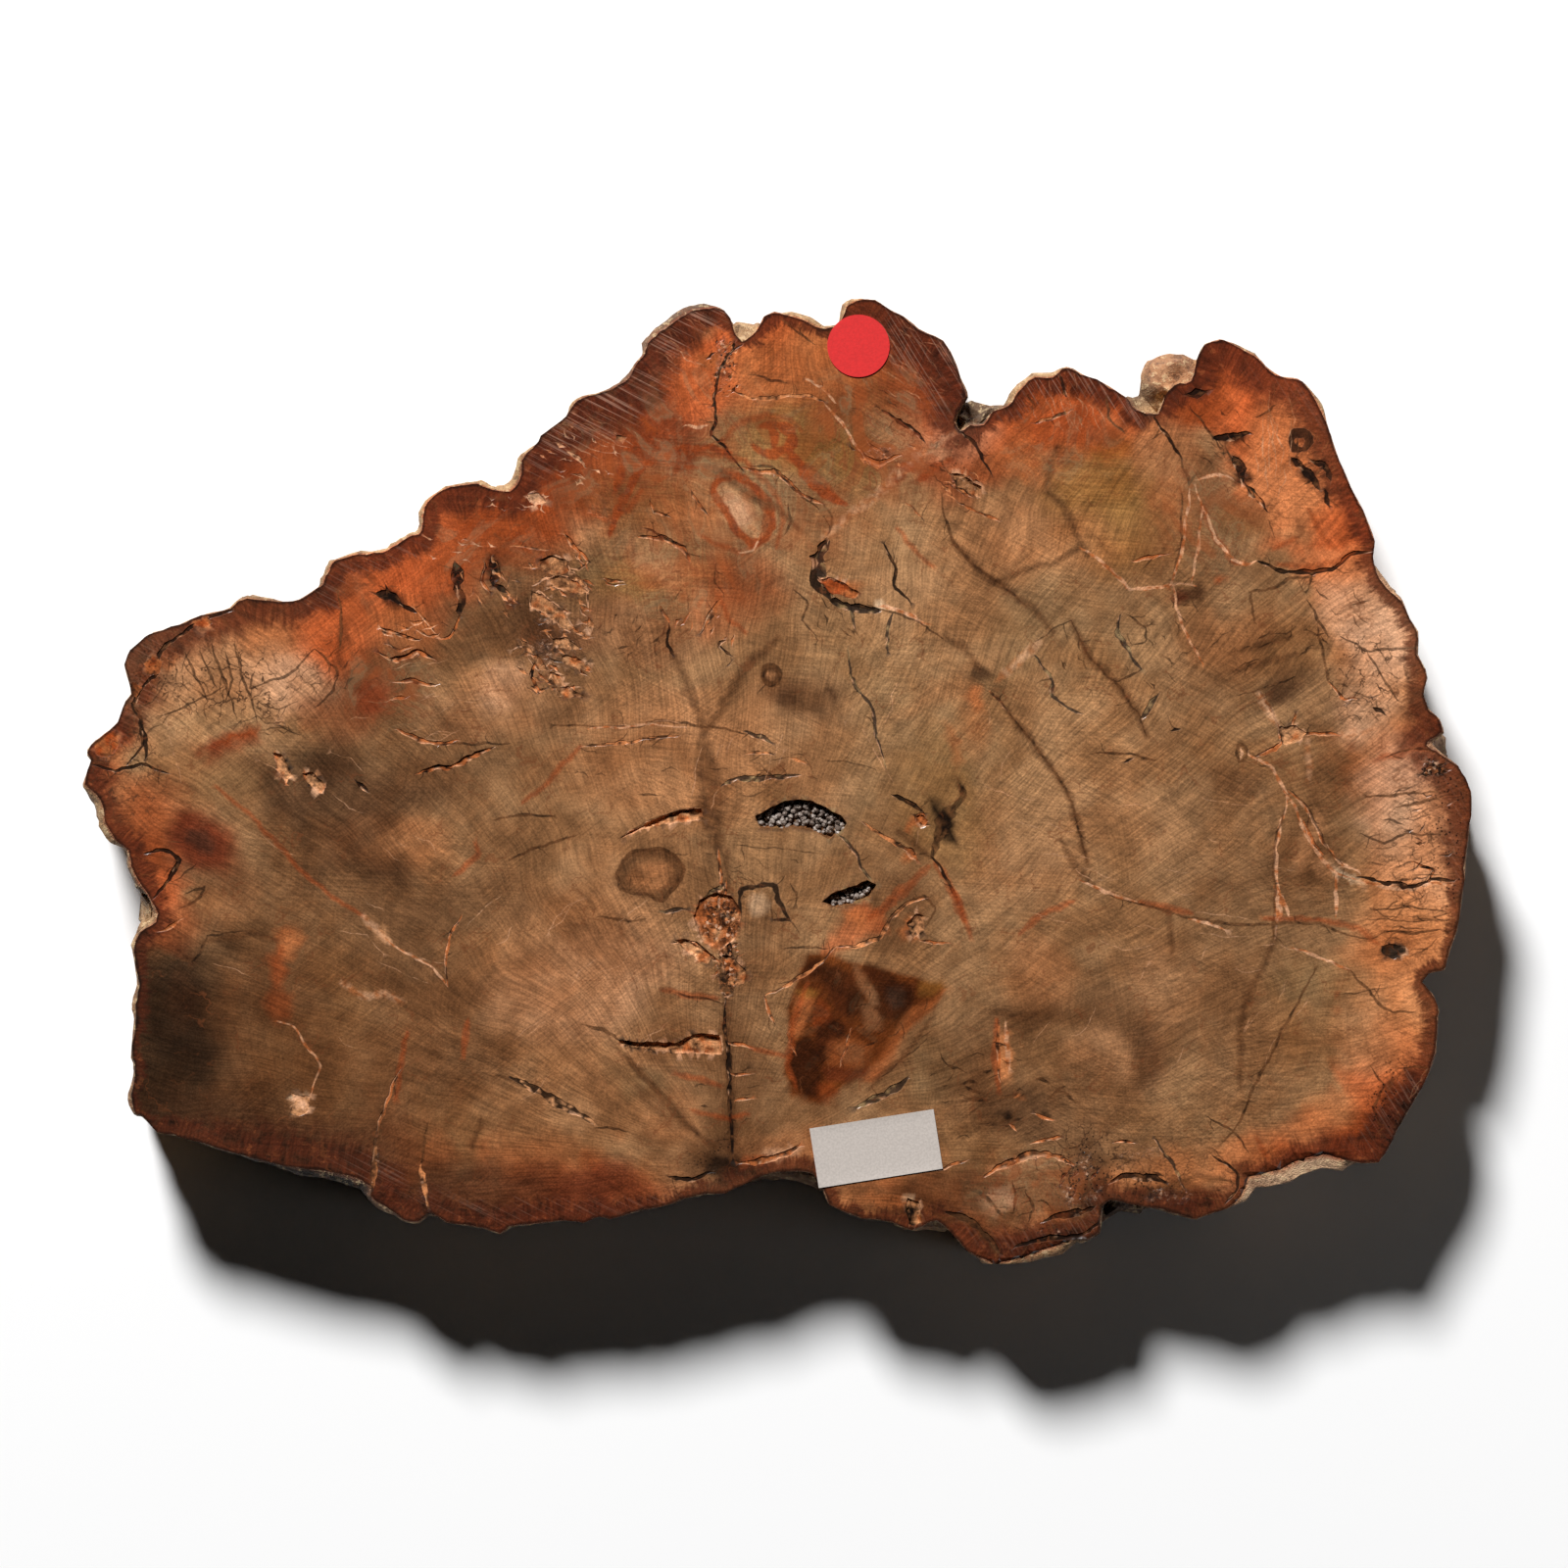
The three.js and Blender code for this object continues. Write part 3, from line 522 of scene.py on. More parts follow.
# Cracks and mineral seams: kind, width in pixels, then the places that the line passes; the pale line just
# under the black crack from 1385,895 to 1484,899 is a painted highlight on the crack's lower edge
SEAMS = """
# Left lobes
black 3.4 130,780 147,760 143,733 133,720 143,703 160,687 163,667 177,653 193,643 213,630 237,623
hair 2 144,722 156,716 166,700 170,690
hair 2 166,730 190,721 216,707 226,702
hair 2 189,666 199,687 212,716
hair 2.2 216,657 225,684 239,725
hair 2.2 239,657 246,680 255,712 262,735
hair 1.8 203,664 213,686 220,700
hair 1.8 230,666 237,693 230,716
hair 2 255,703 275,694 294,689 321,662
hair 2.2 321,662 344,682 346,691 339,707 323,721
hair 2 316,698 323,707
hair 2 264,716 284,725 303,716
hair 2 262,730 271,739 285,737
hair 2 268,745 290,742 306,750
black 2.4 94,780 116,787 144,780 171,789
black 3 144,730 148,753 148,775
hair 2 100,738 118,729 130,716 146,722
black 4 148,871 166,866 185,878 173,898 157,916
hair 2.4 189,912 210,905 203,916 186,926
hair 2 178,980 198,980 212,955 248,950
tan 3 165,950 176,944 184,938
rust 1.6 221,803 253,830 280,857 307,889 335,912 371,935
pink 3 371,935 389,953 398,962
pale 1.6 398,962 412,971 444,989 457,1007
tan 2.4 471,935 459,953 455,980 457,1007
rust 2.4 416,1053 407,1098 404,1120
pink 3 348,1003 371,1016 394,1014 407,1021
pale 1.6 282,1042 300,1046 314,1069 327,1087 318,1115
stain 3 205,962 260,952 282,960
scratch 1.4 150,690 172,744 185,800
# Upper left
black 10 384,606 398,608 408,616
black 5 408,616 425,625
black 4 394,598 400,612
tan 2.4 421,619 435,635 444,646
open 3 389,641 407,648 428,653
open 4.4 387,666 398,675 412,671 425,664 444,673
tan 3 398,658 410,664 420,660
tan 4 405,696 419,695 444,699
tan 3 400,714 414,712
tan 4 405,744 425,755 444,760 466,755
hair 2 444,760 487,758 519,759
open 5 428,789 446,783 460,783 483,771 505,762
black 11 464,575 468,592 467,606
black 6 467,600 471,612 469,628
open 3.4 469,628 460,648 450,652
black 10 501,571 506,584 503,597
black 5 503,597 519,605
open 3 495,575 492,592 500,604
thin 2 345,606 350,640 347,660
black 4 364,798 376,808
tan 3 280,768 292,800
chips 4 538,507 551,514
chips 1.8 542,607 550,603 562,612 575,627 580,638 588,643
chips 1.8 542,607 540,618 550,623 567,628 572,640 582,645
chips 1.8 555,570 568,567 580,575 582,583
chips 2 543,598 557,590 578,590 580,597 560,600
chips 1.8 582,580 592,582 600,573
chips 1.8 588,590 595,595 600,603 600,620
chips 1.8 562,657 577,650 590,660
chips 1.8 575,670 588,675 600,675
chips 1.8 560,693 565,688 573,688
chips 1.8 573,710 587,700 595,702
chips 1.8 523,663 528,657 537,660
chips 1.8 540,673 550,683 560,677
beads 2.4 529,518 536,520
beads 2.6 629,445 638,450
chips 4 579,461 590,466 597,477
chips 3 586,484 596,488
chips 3 568,452 576,456
beads 2.4 604,523 613,527
beads 2.4 524,557 560,561
open 2.4 663,511 667,523 683,527
open 2.6 706,502 713,514 722,525
open 3.4 576,545 585,559 601,573
tan 4.4 651,548 676,548 697,559 704,573
black 2.2 658,539 672,545 685,552 700,558
open 2.4 617,592 626,598 635,596
tan 2.4 617,590 626,594 636,593
open 3.4 674,619 678,626 683,635
open 2.4 548,672 541,690 552,706
# Top
swirl 8 776,435 786,431 797,434 806,442 808,450 802,458 790,463 777,461 768,454
swirl 5 785,437 790,446 789,456
swirl 8 803,458 812,468 819,482 830,496 846,506 864,515
rust 4 745,470 738,452 748,436 765,428 786,424 806,428 818,440
swirl 8 622,545 630,520 640,505 650,480 668,466 690,460 716,456 746,462
swirl 8 655,428 666,443 643,461 634,478 628,500
swirl 5 733,488 728,500 738,520 752,540 768,554 782,550 790,530 784,512 770,497 752,484 733,488
black 2.4 757,352 742,362 733,382 729,405 731,432 724,443 740,457 749,470 758,480
tan 3.6 758,477 776,482 790,480 804,491 817,505 840,514
hair 2 762,474 790,476 812,500 836,520
beads 3 745,398 767,407 795,405 822,402 840,409
hair 2.2 767,382 785,389 804,391
hair 2 796,324 806,332 815,340 832,352
pale 2.4 820,386 838,395 852,411
pale 2.4 843,414 861,436 875,457 897,473
tan 4 875,457 884,466 897,473 920,464
tan 2.4 886,452 900,462
pale 2.4 699,434 713,438 722,434
black 4 900,419 911,427 929,436 943,450
pink 5 840,548 865,527 906,495 938,464 975,441
rust 4 672,491 695,477 722,475 749,482 776,505 783,527 776,555 758,564 731,555 713,545
rust 3 690,470 720,462 760,470 790,500 800,530 792,560
rust 4 800,465 824,478 840,492 852,506
rust 3 655,500 640,520 620,530 604,524
pale 1.6 776,545 768,563 754,564
hair 1.8 804,514 806,532 801,545
hair 1.8 731,573 729,595 738,605
rust 2.4 735,612 742,632 760,645
tan 4.4 735,612 726,628 715,646
black 2.2 733,658 746,669
black 3 683,638 681,655 688,670
stain 5 735,480 760,505 795,520 815,540
thin 2 840,514 850,530 845,545
# Upper middle
stain 7 687,669 701,696 710,719 717,742
stain 7 794,651 769,674 751,696 733,728 721,744
column 16 718,750 722,790 726,830 734,868
thin 1.8 565,740 642,742 674,735 715,741 742,744 760,749
pale 1.6 600,744 660,740 700,742
scratch 1.6 628,741 652,740 674,735 694,738
beads 2.6 592,762 642,758 665,752 692,751
rust 3 533,819 555,801 571,783 592,762
thin 2 519,878 546,865 587,853
thin 2 505,837 535,831 565,833
rust 4 485,860 490,872 465,892
grey 4 760,746 774,751 787,758
beads 2.2 762,769 790,770
beads 3 808,774 824,780
grey 4.4 737,801 751,794 778,796 787,792 815,791
hair 2 760,812 778,808
hair 2 843,776 870,778 893,785
black 13 843,552 832,572 834,592 847,611
grey 7 846,552 836,572 838,592 850,608
black 9 847,613 875,620 897,623
grey 5 850,616 875,622 897,624
pale 4 897,619 920,624 947,637
hair 2.2 897,621 920,629 947,640 962,652
grey 3 911,626 904,646 906,665
grey 2.4 870,620 872,641
black 3 902,555 915,580 913,600 929,615
stain 5 965,650 985,660 1000,684
grey 2.6 865,663 868,690 878,706 890,724 895,755 904,783
hair 2 810,602 824,616 818,632 832,648
scratch 1.4 879,742 900,780 911,797
# Top right
black 3 977,436 997,455 1004,473 1011,482
tan 5 970,484 984,492 1000,500
tan 3.4 976,498 990,506
thin 2.2 961,505 962,523 970,550 988,573 1020,595 1047,618
stain 5 970,550 1002,587 1034,605 1061,628 1075,646
tan 2 925,514 943,532
rust 2 915,539 929,555 950,577
stain 4 1079,455 1072,477 1068,500 1088,518 1097,545 1111,568
beads 2.6 1056,432 1075,427 1093,418
black 3.4 1081,382 1088,405
hair 2 1047,400 1056,414
thin 2.4 1129,405 1131,427 1147,441
black 2.8 1175,423 1184,436 1197,455 1206,468
thin 2.4 1206,468 1213,495 1220,485
thin 2 1206,505 1206,550 1197,591
stain 3 1015,595 1047,582 1075,573 1102,559
tan 2.4 979,514 1000,522 1020,532
tan 3 1156,573 1172,570 1188,566
pale 2.8 1102,559 1120,568 1134,582 1152,602 1184,598 1202,595 1220,598
pale 2.4 1214,499 1209,545 1200,585 1193,599
pale 2.4 1220,490 1241,485 1257,488
pale 2 1220,497 1227,522 1223,549 1216,595
rust 3 1227,517 1241,549 1259,572 1273,576
pale 2.6 1227,517 1241,549 1259,572 1273,576 1282,572
hair 1.8 1214,415 1232,438 1245,458
hair 1.8 1282,426 1302,413
black 8 1238,447 1255,446 1276,442
black 9 1258,466 1268,478 1268,492
black 6 1272,496 1280,508
black 8 1318,468 1328,476 1338,486 1347,500
black 6 1338,470 1352,474 1358,490
black 5 1352,500 1356,516
black 8 1211,403 1230,400
grey 8 1307,751 1327,748
rust 7 916,474 930,478
rust 6 938,490 953,478 970,467
thin 4 778,690 782,681 790,680 797,688 793,698 783,698 778,690
hair 1.8 1250,454 1259,472 1270,476
open 4.4 1275,497 1284,508 1293,522
hair 2 1295,531 1300,547
ring 7 1318,450 1323,442 1333,442 1337,450 1332,459 1322,459 1318,450
scratch 1.4 1289,427 1290,485
scratch 1.2 1294,427 1296,480
scratch 1.2 1299,432 1301,486
rust 3 1335,520 1350,548 1362,560
rust 3 1300,560 1316,554 1324,548
# Right of the middle
hair 2 1093,633 1111,669 1138,696 1161,728 1170,751
stain 5 1093,633 1111,669 1138,696 1161,728 1170,751
pink 6 1020,692 1040,674 1061,655
hair 2 1056,655 1075,642 1093,633
grey 3 1056,669 1068,685 1075,696 1072,710 1093,724 1102,728
beads 3 1009,705 1027,724
stain 5 1027,724 1052,755 1075,787 1093,815 1102,851 1109,878
thin 1.8 1027,724 1052,755 1075,787 1093,815 1102,851 1109,878
grey 4.4 1143,628 1140,646 1152,665 1165,683
hair 2 1152,628 1170,642 1170,655 1156,658
hair 2 1138,696 1165,683
grey 5 1165,733 1172,722 1181,710
black 2.8 1195,746 1204,744
black 2.8 1147,778 1156,774
thin 2 1115,769 1129,767 1156,769 1179,776
pale 2.4 1197,596 1202,624 1215,655 1228,678
black 4 1284,573 1305,581 1336,585 1364,579 1377,567 1398,563
rust 5 1305,576 1336,580 1364,573 1385,560
thin 2.4 1275,604 1300,599 1318,590 1341,588
hair 2 1325,592 1332,606 1340,590
hair 2.2 1334,613 1345,631 1355,649
hair 2 1380,617 1395,613
thin 2 1277,604 1280,635
# Right
stain 3 1254,667 1280,660 1318,649
stain 4 1258,685 1290,676 1322,667
hair 2 1263,710 1290,701 1322,690
thin 2 1286,706 1296,722 1304,740
pink 4 1285,708 1304,740
tan 4 1304,740 1310,758 1300,764 1281,772
tan 3.4 1322,728 1318,744
tan 3.4 1330,749 1350,748 1366,750
pink 3 1366,750 1399,745
pink 2.4 1335,754 1335,795
thin 2.4 1263,760 1269,759 1272,766 1270,776 1265,777 1262,769 1263,760
pale 2.2 1266,764 1267,769 1266,773
pale 2.4 1274,770 1295,781 1313,808 1313,822
pale 3.4 1313,822 1301,863 1304,913 1301,958
pale 5 1300,905 1306,922 1303,940
thin 1.8 1311,826 1299,865 1301,913 1299,958
pale 2.6 1309,806 1322,824 1332,850 1344,870 1360,888 1385,898
pale 2.6 1315,808 1335,826 1348,856 1366,878 1388,891
tan 3 1330,838 1338,856 1350,872
hair 1.8 1316,806 1338,828 1350,860 1372,884
pale 2.4 1387,899 1413,905 1440,908 1463,901 1482,903
black 4 1385,895 1413,901 1440,904 1463,897 1484,899
open 2.6 1440,879 1463,888 1458,899
hair 2.4 1390,851 1413,860 1435,851 1467,851
thin 2 1395,813 1431,810 1467,808
thin 2 1426,824 1467,815
rust 5 1404,776 1449,763 1476,770
hair 2 1416,772 1449,763 1470,766
pale 3 1363,890 1363,935
pale 3 1304,908 1315,935
hair 2.4 1367,649 1390,663 1422,663 1452,660
hair 2.2 1395,665 1413,695 1426,715
thin 2 1345,640 1349,667 1358,699 1372,713
tan 2.4 1358,699 1372,713 1385,713
black 3.4 1401,722 1413,729
hair 1.8 1380,706 1396,712 1410,708
# Lower right
rust 5 1163,920 1190,926 1216,932
rust 3 1290,937 1345,938
rust 4 1345,938 1385,946 1405,962
thin 2 1106,900 1122,908 1140,917 1163,922 1208,935 1254,942 1299,942 1345,942 1376,954 1395,958
stain 4 1083,858 1090,874 1100,890 1118,906
pale 2.4 1102,898 1122,908 1140,915 1160,920
pale 2 1215,938 1234,944 1250,949
hair 1.8 1395,938 1431,940 1476,938
hair 1.8 1400,928 1436,926 1474,930
hair 1.8 1412,950 1446,952 1470,948
rust 4 1040,953 1055,940 1075,929 1095,920
stain 3 1192,930 1194,950 1196,971
stain 4 1301,940 1301,958 1274,1013 1265,1049 1265,1108
thin 2 1342,990 1315,1040 1287,1095 1269,1135 1258,1154 1246,1167
hair 1.8 1233,1140 1258,1154 1274,1176
hair 1.6 1360,1015 1388,1012 1415,1008
pale 2.4 1319,967 1360,983 1378,990
thin 2 1378,990 1405,1022 1419,1031 1442,1033
hair 2.2 1428,1090 1460,1090
hair 2 1400,1090 1412,1108 1402,1130 1408,1150
grey 3 1178,1162 1196,1185 1208,1212
rust 3 1283,1163 1296,1185
stain 5 1180,1215 1220,1200 1250,1204
hair 2 1238,1172 1254,1188 1270,1204
black 8 1134,1206 1150,1200 1166,1203 1178,1202 1190,1207
black 7 1066,1246 1078,1241 1092,1238 1106,1236 1116,1232
black 6 965,1237 978,1240 990,1245 1002,1256 1011,1266 1020,1279
black 2.6 1238,1180 1252,1188 1262,1198 1262,1214 1250,1228
open 2.6 1135,1166 1146,1165 1158,1166
hair 2 1133,1183 1146,1182 1152,1186
tan 3.4 1056,1136 1064,1139 1074,1143
tan 2.4 1030,1147 1036,1153
tan 4 1055,1166 1070,1161 1083,1160
tan 6 1005,1200 1019,1190 1033,1185 1050,1180 1065,1178 1080,1182 1096,1189
tan 2.6 960,1194 974,1188 985,1185
hair 2.2 1033,1207 1036,1224 1034,1238
hair 2.2 1046,1216 1053,1232 1050,1246
stain 6 958,1241 987,1244 1010,1262 1017,1278
stain 4 1015,1032 1036,1038 1060,1034
open 2.4 928,1225 932,1238 928,1250
# Middle
pale 5 1026,1046 1028,1070 1030,1090
rust 4 1017,1040 1016,1075 1019,1110
tan 3 1019,1044 1018,1080 1021,1104
black 5 1036,1272 1070,1263 1100,1262 1121,1248
thin 3 985,1212 1010,1222 1022,1240
thin 3 628,892 634,880 646,870 660,866 676,866 690,873 699,886 695,900 684,912 676,920 662,914 646,912 \
634,906 628,892
stain 6 632,893 637,881 648,873 661,870 676,870 688,876 694,887 690,899 681,908 673,914 661,910 648,908 \
637,903 632,893
column 5 742,868 741,900 742,1019 741,1060 745,1100 746,1142 748,1183
open 4 741,900 738,930 742,952 745,980 744,1004
black 3.4 741,1019 739,1051 744,1087 746,1142 748,1183
tan 3 733,868 736,910 733,950
tan 2.4 746,1096 764,1096
tan 2.4 750,1123 766,1121
rust 3 748,1140 764,1137
rust 4 691,1096 735,1108
rust 3 707,1133 744,1142
open 3.4 689,962 707,962 725,975 736,984
rust 4 675,1010 707,1017 732,1019
hair 2.2 690,1013 710,1018 736,1024
thin 2.4 598,1046 615,1050 630,1060
tan 4.4 744,1065 766,1069
rust 2.4 766,1069 807,1078
tan 2.4 803,1055 812,1075
thin 2 633,855 665,837 690,827 720,823
grey 5 716,919 728,911 739,903
grey 2.8 675,930 688,929 700,928
thin 2 612,935 640,939 658,938
ring 4.4 755,939 755,907 791,903 794,916 803,935 807,939 789,939
hair 2 787,921 789,939
hair 2 807,903 812,912 812,921
grey 3 857,853 875,871 878,885 889,898
hair 1.8 753,862 794,866 835,871
beads 3 880,839 907,857 935,871
rust 9 948,884 934,898 918,912 902,926 888,936
rust 7 954,880 966,896 976,918 984,940
black 4 911,812 929,819 943,830
hair 8 982,803 981,815 970,830
hair 14 974,822 963,838 955,860
hair 8 960,848 954,862 950,876
tan 9 934,832 946,842
tan 8 924,867 935,877
black 3 950,874 962,890 972,908 978,922
rust 3 972,908 982,928 990,955
stain 4 915,848 934,862 948,874
beads 4 853,966 875,964 898,957 907,939 925,921 948,916
beads 3 780,1016 807,1003 835,985 853,966
tan 2.4 780,1016 784,1030 790,1044
hair 2 800,968 822,967 845,968
tan 2.6 939,960 952,962 966,962
thin 2 907,939 925,921 944,914 955,926 946,944
rust 4 812,1108 803,1085 810,1040 824,1004
tan 1.6 868,1050 863,1066 858,1086
grey 6 874,1130 890,1122 905,1116 926,1100
stain 2.4 887,1112 928,1071 951,1039
hair 1.6 895,1101 920,1082 946,1060
hair 2 960,1075 970,1090 985,1094
# Lower left
tan 3 409,1092 391,1133 384,1160
beads 6 384,1160 382,1175 383,1192 378,1216
stain 3 391,1133 382,1165 382,1192 377,1219
thin 2 436,1146 432,1174 429,1190
beads 6 429,1190 430,1205 434,1220 437,1232
stain 3 491,1142 482,1174
rust 4 477,1042 473,1078
thin 2.4 502,1098 525,1101 540,1110
spindle 7 520,1099 548,1113 575,1129 606,1146
hair 2 607,1151 621,1149 639,1155
black 3.6 682,1201 707,1203 725,1196
tan 5 753,1187 789,1183 816,1169
stain 3 640,1078 676,1118 712,1156
stain 3 630,1070 664,1108 700,1150 732,1172
"""

# Groups of short cracks and flakes: kind, width, number, middle, half width and half height, turn, length
CHECKS = """
hair 1.5 20 225,695 60x44 -68 24
hair 1.5 18 280,728 36x22 10 14
hair 1.8 12 160,700 26x44 50 14
hair 1.8 14 330,680 44x26 30 16
hair 1.8 10 115,765 26x36 0 16
beads 2.6 16 555,595 50x30 -35 13
beads 2.6 20 560,670 44x44 -30 13
open 2.6 10 572,690 34x30 -25 14
tan 2.8 14 580,600 34x44 -35 13
chips 2.4 16 590,466 40x28 -40 9
chips 2 10 520,512 40x16 -10 8
chips 2 8 470,560 50x14 -20 7
beads 2.4 10 500,600 34x30 -70 10
tan 2.4 8 420,655 34x24 -10 14
beads 2.2 10 738,375 16x40 40 8
black 2.2 10 738,380 18x40 60 8
beads 2.2 12 900,462 34x20 -25 10
hair 1.8 12 975,470 34x34 -40 12
beads 2.2 10 985,494 22x18 -25 9
tan 2.2 10 730,640 50x40 60 12
hair 1.8 12 690,640 60x34 60 12
hair 1.8 10 640,640 34x30 30 10
hair 1.8 16 1150,690 70x70 -50 12
hair 1.8 8 1190,640 40x34 -60 12
hair 1.8 10 790,785 60x20 -4 18
hair 1.8 8 650,780 60x34 4 22
hair 1.5 8 1370,640 34x44 -40 18
hair 1.6 12 1385,715 34x24 -10 13
black 2 10 1462,785 18x10 10 8
black 2 10 1460,850 24x60 10 16
hair 1.8 16 1440,860 40x80 6 30
hair 1.6 12 1440,940 44x30 4 34
hair 1.8 10 1440,1120 24x44 60 12
hair 1.8 16 1120,1190 34x44 20 10
hair 1.8 14 1200,1215 60x20 0 16
hair 1.8 10 1060,1240 50x30 0 14
black 2 10 1100,1205 24x24 40 9
hair 1.8 10 745,1100 30x80 5 12
tan 2.2 12 742,985 14x30 50 9
open 2.2 8 735,940 18x26 60 9
hair 1.6 10 900,1040 50x40 40 16
hair 1.6 10 1290,660 60x30 18 26
hair 1.8 10 1340,470 24x30 50 9
hair 1.8 10 1260,460 30x44 -50 12
hair 1.6 10 170,890 30x34 30 16
hair 1.6 8 1060,400 34x26 -80 20
hair 1.6 8 880,410 40x20 -40 12
hair 1.6 10 850,640 30x34 -70 12
hair 1.6 8 790,890 50x20 -20 12
hair 1.6 10 1000,1095 60x40 10 14
thin 2.2 12 1040,1115 60x30 -5 26
hair 1.8 8 1010,1150 40x20 0 16
scratch 1.1 40 575,440 70x24 -27 34
scratch 1.2 16 690,350 44x30 -32 26
scratch 1.1 22 935,370 36x44 -40 30
scratch 1.2 18 1095,412 44x26 -72 22
scratch 1.3 20 1458,1130 18x40 58 20
scratch 1.1 12 1300,460 20x50 -88 50
scratch 1.0 16 420,700 90x60 12 44
scratch 1.0 16 850,770 200x90 70 36
scratch 1.0 22 1200,850 180x160 -8 60
scratch 1.0 14 330,920 120x160 -30 60
scratch 1.0 14 600,1000 140x120 40 50
scratch 1.0 10 1200,1040 140x80 60 40
"""

# Open hollows with a rough floor, and knots and flakes that are hardly sunk: kind, depth in mm, corners
PITS = """
tan_pit .6 633,855 650,845 665,837 687,828 717,824 719,837 687,840 660,845
brown_pit .5 708,935 714,918 730,911 748,915 757,932 750,958 735,971 716,960
tan_pit .5 689,960 700,958 716,966 728,976 722,984 706,976
tan_pit .4 736,974 748,976 762,990 760,1004 742,1006
tan_pit .6 628,1060 650,1063 690,1064 712,1054 735,1056 737,1076 712,1075 690,1074 660,1071 635,1068
flake .25 542,603 553,606 564,614 578,626 591,646 576,643 558,628 541,620
flake .25 550,572 560,567 578,571 580,583 566,588 553,582
flake .25 580,582 592,588 600,598 594,604 584,594
flake .25 558,590 572,587 590,593 602,606 584,606 566,600
flake .25 562,651 578,650 594,662 582,664 566,660
flake .25 540,667 550,668 560,685 550,684
flake .25 571,668 588,669 606,683 592,684 576,678
flake .25 560,686 572,688 578,701 566,699
flake .25 562,702 580,700 598,711 582,713
flake .25 530,652 538,656 545,668 536,664
flake .25 600,630 606,636 603,648 598,640
knot .05 93,754 103,745 118,748 122,760 113,773 99,772
knot .05 146,677 156,669 166,675 164,687 152,690
knot .05 126,703 137,695 146,702 140,713 129,711
knot .05 196,634 210,628 218,636 206,643
chip_pit .2 538,504 550,502 557,512 546,517
chip_pit .2 628,444 640,446 636,454
tan_pit .4 278,768 288,770 299,792 292,800 282,784
tan_pit .4 308,789 318,788 334,803 328,811 314,800
chip_pit .2 296,1114 303,1117 316,1119 314,1135 305,1140 295,1137 300,1126
tan_pit .4 970,483 984,484 1002,497 1002,509 990,504 976,496
rust_pit .3 834,592 846,588 862,596 878,605 872,611 850,607
rust_pit .3 934,833 940,830 948,838 943,843
tan_pit .4 925,942 934,932 943,934 944,948 932,958
char_pit .15 1409,965 1420,963 1435,966 1436,974 1422,979 1410,975
tan_pit .3 1305,742 1322,740 1334,748 1326,758 1308,760
tan_pit .4 926,1222 938,1226 941,1248 930,1252 924,1238
"""

# The rims of the two hollows that crystals line, by the name of their crust
VUGS = {
    "quartz_crust_large":
        "770,832 785,825 800,817 815,815 830,818 845,825 858,832 865,840 "
        "858,850 846,857 836,850 824,846 810,844 795,846 775,844",
    "quartz_crust_small": "838,920 850,910 868,905 885,898 895,902 888,915 870,923 852,926",
}

# Where each fine pattern gathers: middle, half width and half height, strength
SPECKLES = """
738,375 16x40 1
1462,785 20x16 1
1413,1120 18x34 1
1340,475 30x34 .5
985,460 40x34 .5
560,620 50x60 .3
1115,1190 34x44 1
1150,1215 80x24 .7
1030,1230 70x40 .4
740,1185 50x26 .7
905,1235 60x20 .5
160,690 40x50 .6
1310,1190 60x20 .5
850,1040 60x60 .3
1075,1262 50x14 .8
1478,850 24x110 .9
1425,1130 34x60 .9
"""
RUBBLE = """
1112,1195 28x50 .5
1090,1225 34x26 .5
1045,1188 46x14 .5
742,990 14x36 .8
735,940 26x32 .8
565,650 30x60 .5
738,372 12x36 .6
1462,785 16x9 .8
1200,1222 50x14 .5
1165,1180 40x30 .45
1415,1122 12x34 .3
738,1188 26x14 .4
383,1195 9x26 .5
433,1215 9x22 .5
385,1185 4x30 .5
1385,715 30x16 .5
275,735 30x14 .5
1070,1255 40x12 .5
985,495 20x14 .6
900,464 26x12 .5
"""
CRAZING = """
240,700 80x50 .9
320,690 40x34 .6
1395,690 50x60 .8
1440,870 40x90 .6
1108,1188 44x52 1
600,560 90x60 .3
1330,480 60x60 .3
740,950 60x100 .2
130,790 50x60 .7
1200,1190 80x40 .5
560,650 60x70 .5
1300,700 60x60 .3
"""
AGATE = """
640,440 150x90 .8
790,480 120x110 .45
700,580 90x60 .6
900,440 90x80 .8
480,560 80x50 .6
1080,450 80x50 .6
1230,520 60x70 .5
870,1045 70x70 .15
390,700 60x50 .6
1060,1210 90x40 .5
330,620 60x40 .4
"""
STREAKS = """
170,700 90x90 .25
620,430 130x70 1
940,370 60x70 .8
1100,410 90x50 .8
1440,860 60x120 .3
1400,1100 70x80 .35
1460,1140 40x60 .5
400,600 110x50 .4
520,1200 200x50 .35
1060,1240 90x40 .3
1250,650 120x60 .5
1330,400 80x50 .15
700,330 60x40 1
"""

# Where colours change fast and the face has more points: middle, half width and half height
FINE_PLACES = """
885,1045 88x82
800,462 60x50
"""

# Tones of the bark wall below the edge, in the same form as the tones of the stone; the char at 290,1200
# and the walnut at 850,1250 and 1140,1245 are painted shade where the lower wall lies in shadow
BARK_TONES = """
umber 800,1200 700x60 .8
char 290,1200 120x40 .95
walnut 850,1250 60x24 .9
walnut 1140,1245 40x24 .9
sand 1050,1285 60x20 .9
ochre 1050,1285 60x20 .4
sand 1310,1205 70x40 1
cream 1310,1205 70x40 .35
ochre 1310,1205 70x40 .2
honey 130,1040 30x110 .9
honey 130,885 30x40 .5
walnut 150,905 20x20 .7
grey_brown 660,350 90x70 .95
walnut 700,318 50x18 .6
umber 300,600 120x20 .5
walnut 1004,420 26x24 .8
clay 1197,378 30x24 .9
walnut 1160,400 24x16 .6
umber 1470,900 40x300 .5
sand 1420,590 26x26 .8
sand 1470,750 20x20 .8
"""

# Ledges that stand out from the wall and aren't worn back: middle, reach in pixels, share of their lift
LEDGES = """
1196,378 44 0
1318,1204 62 .8
1048,1284 50 .7
"""

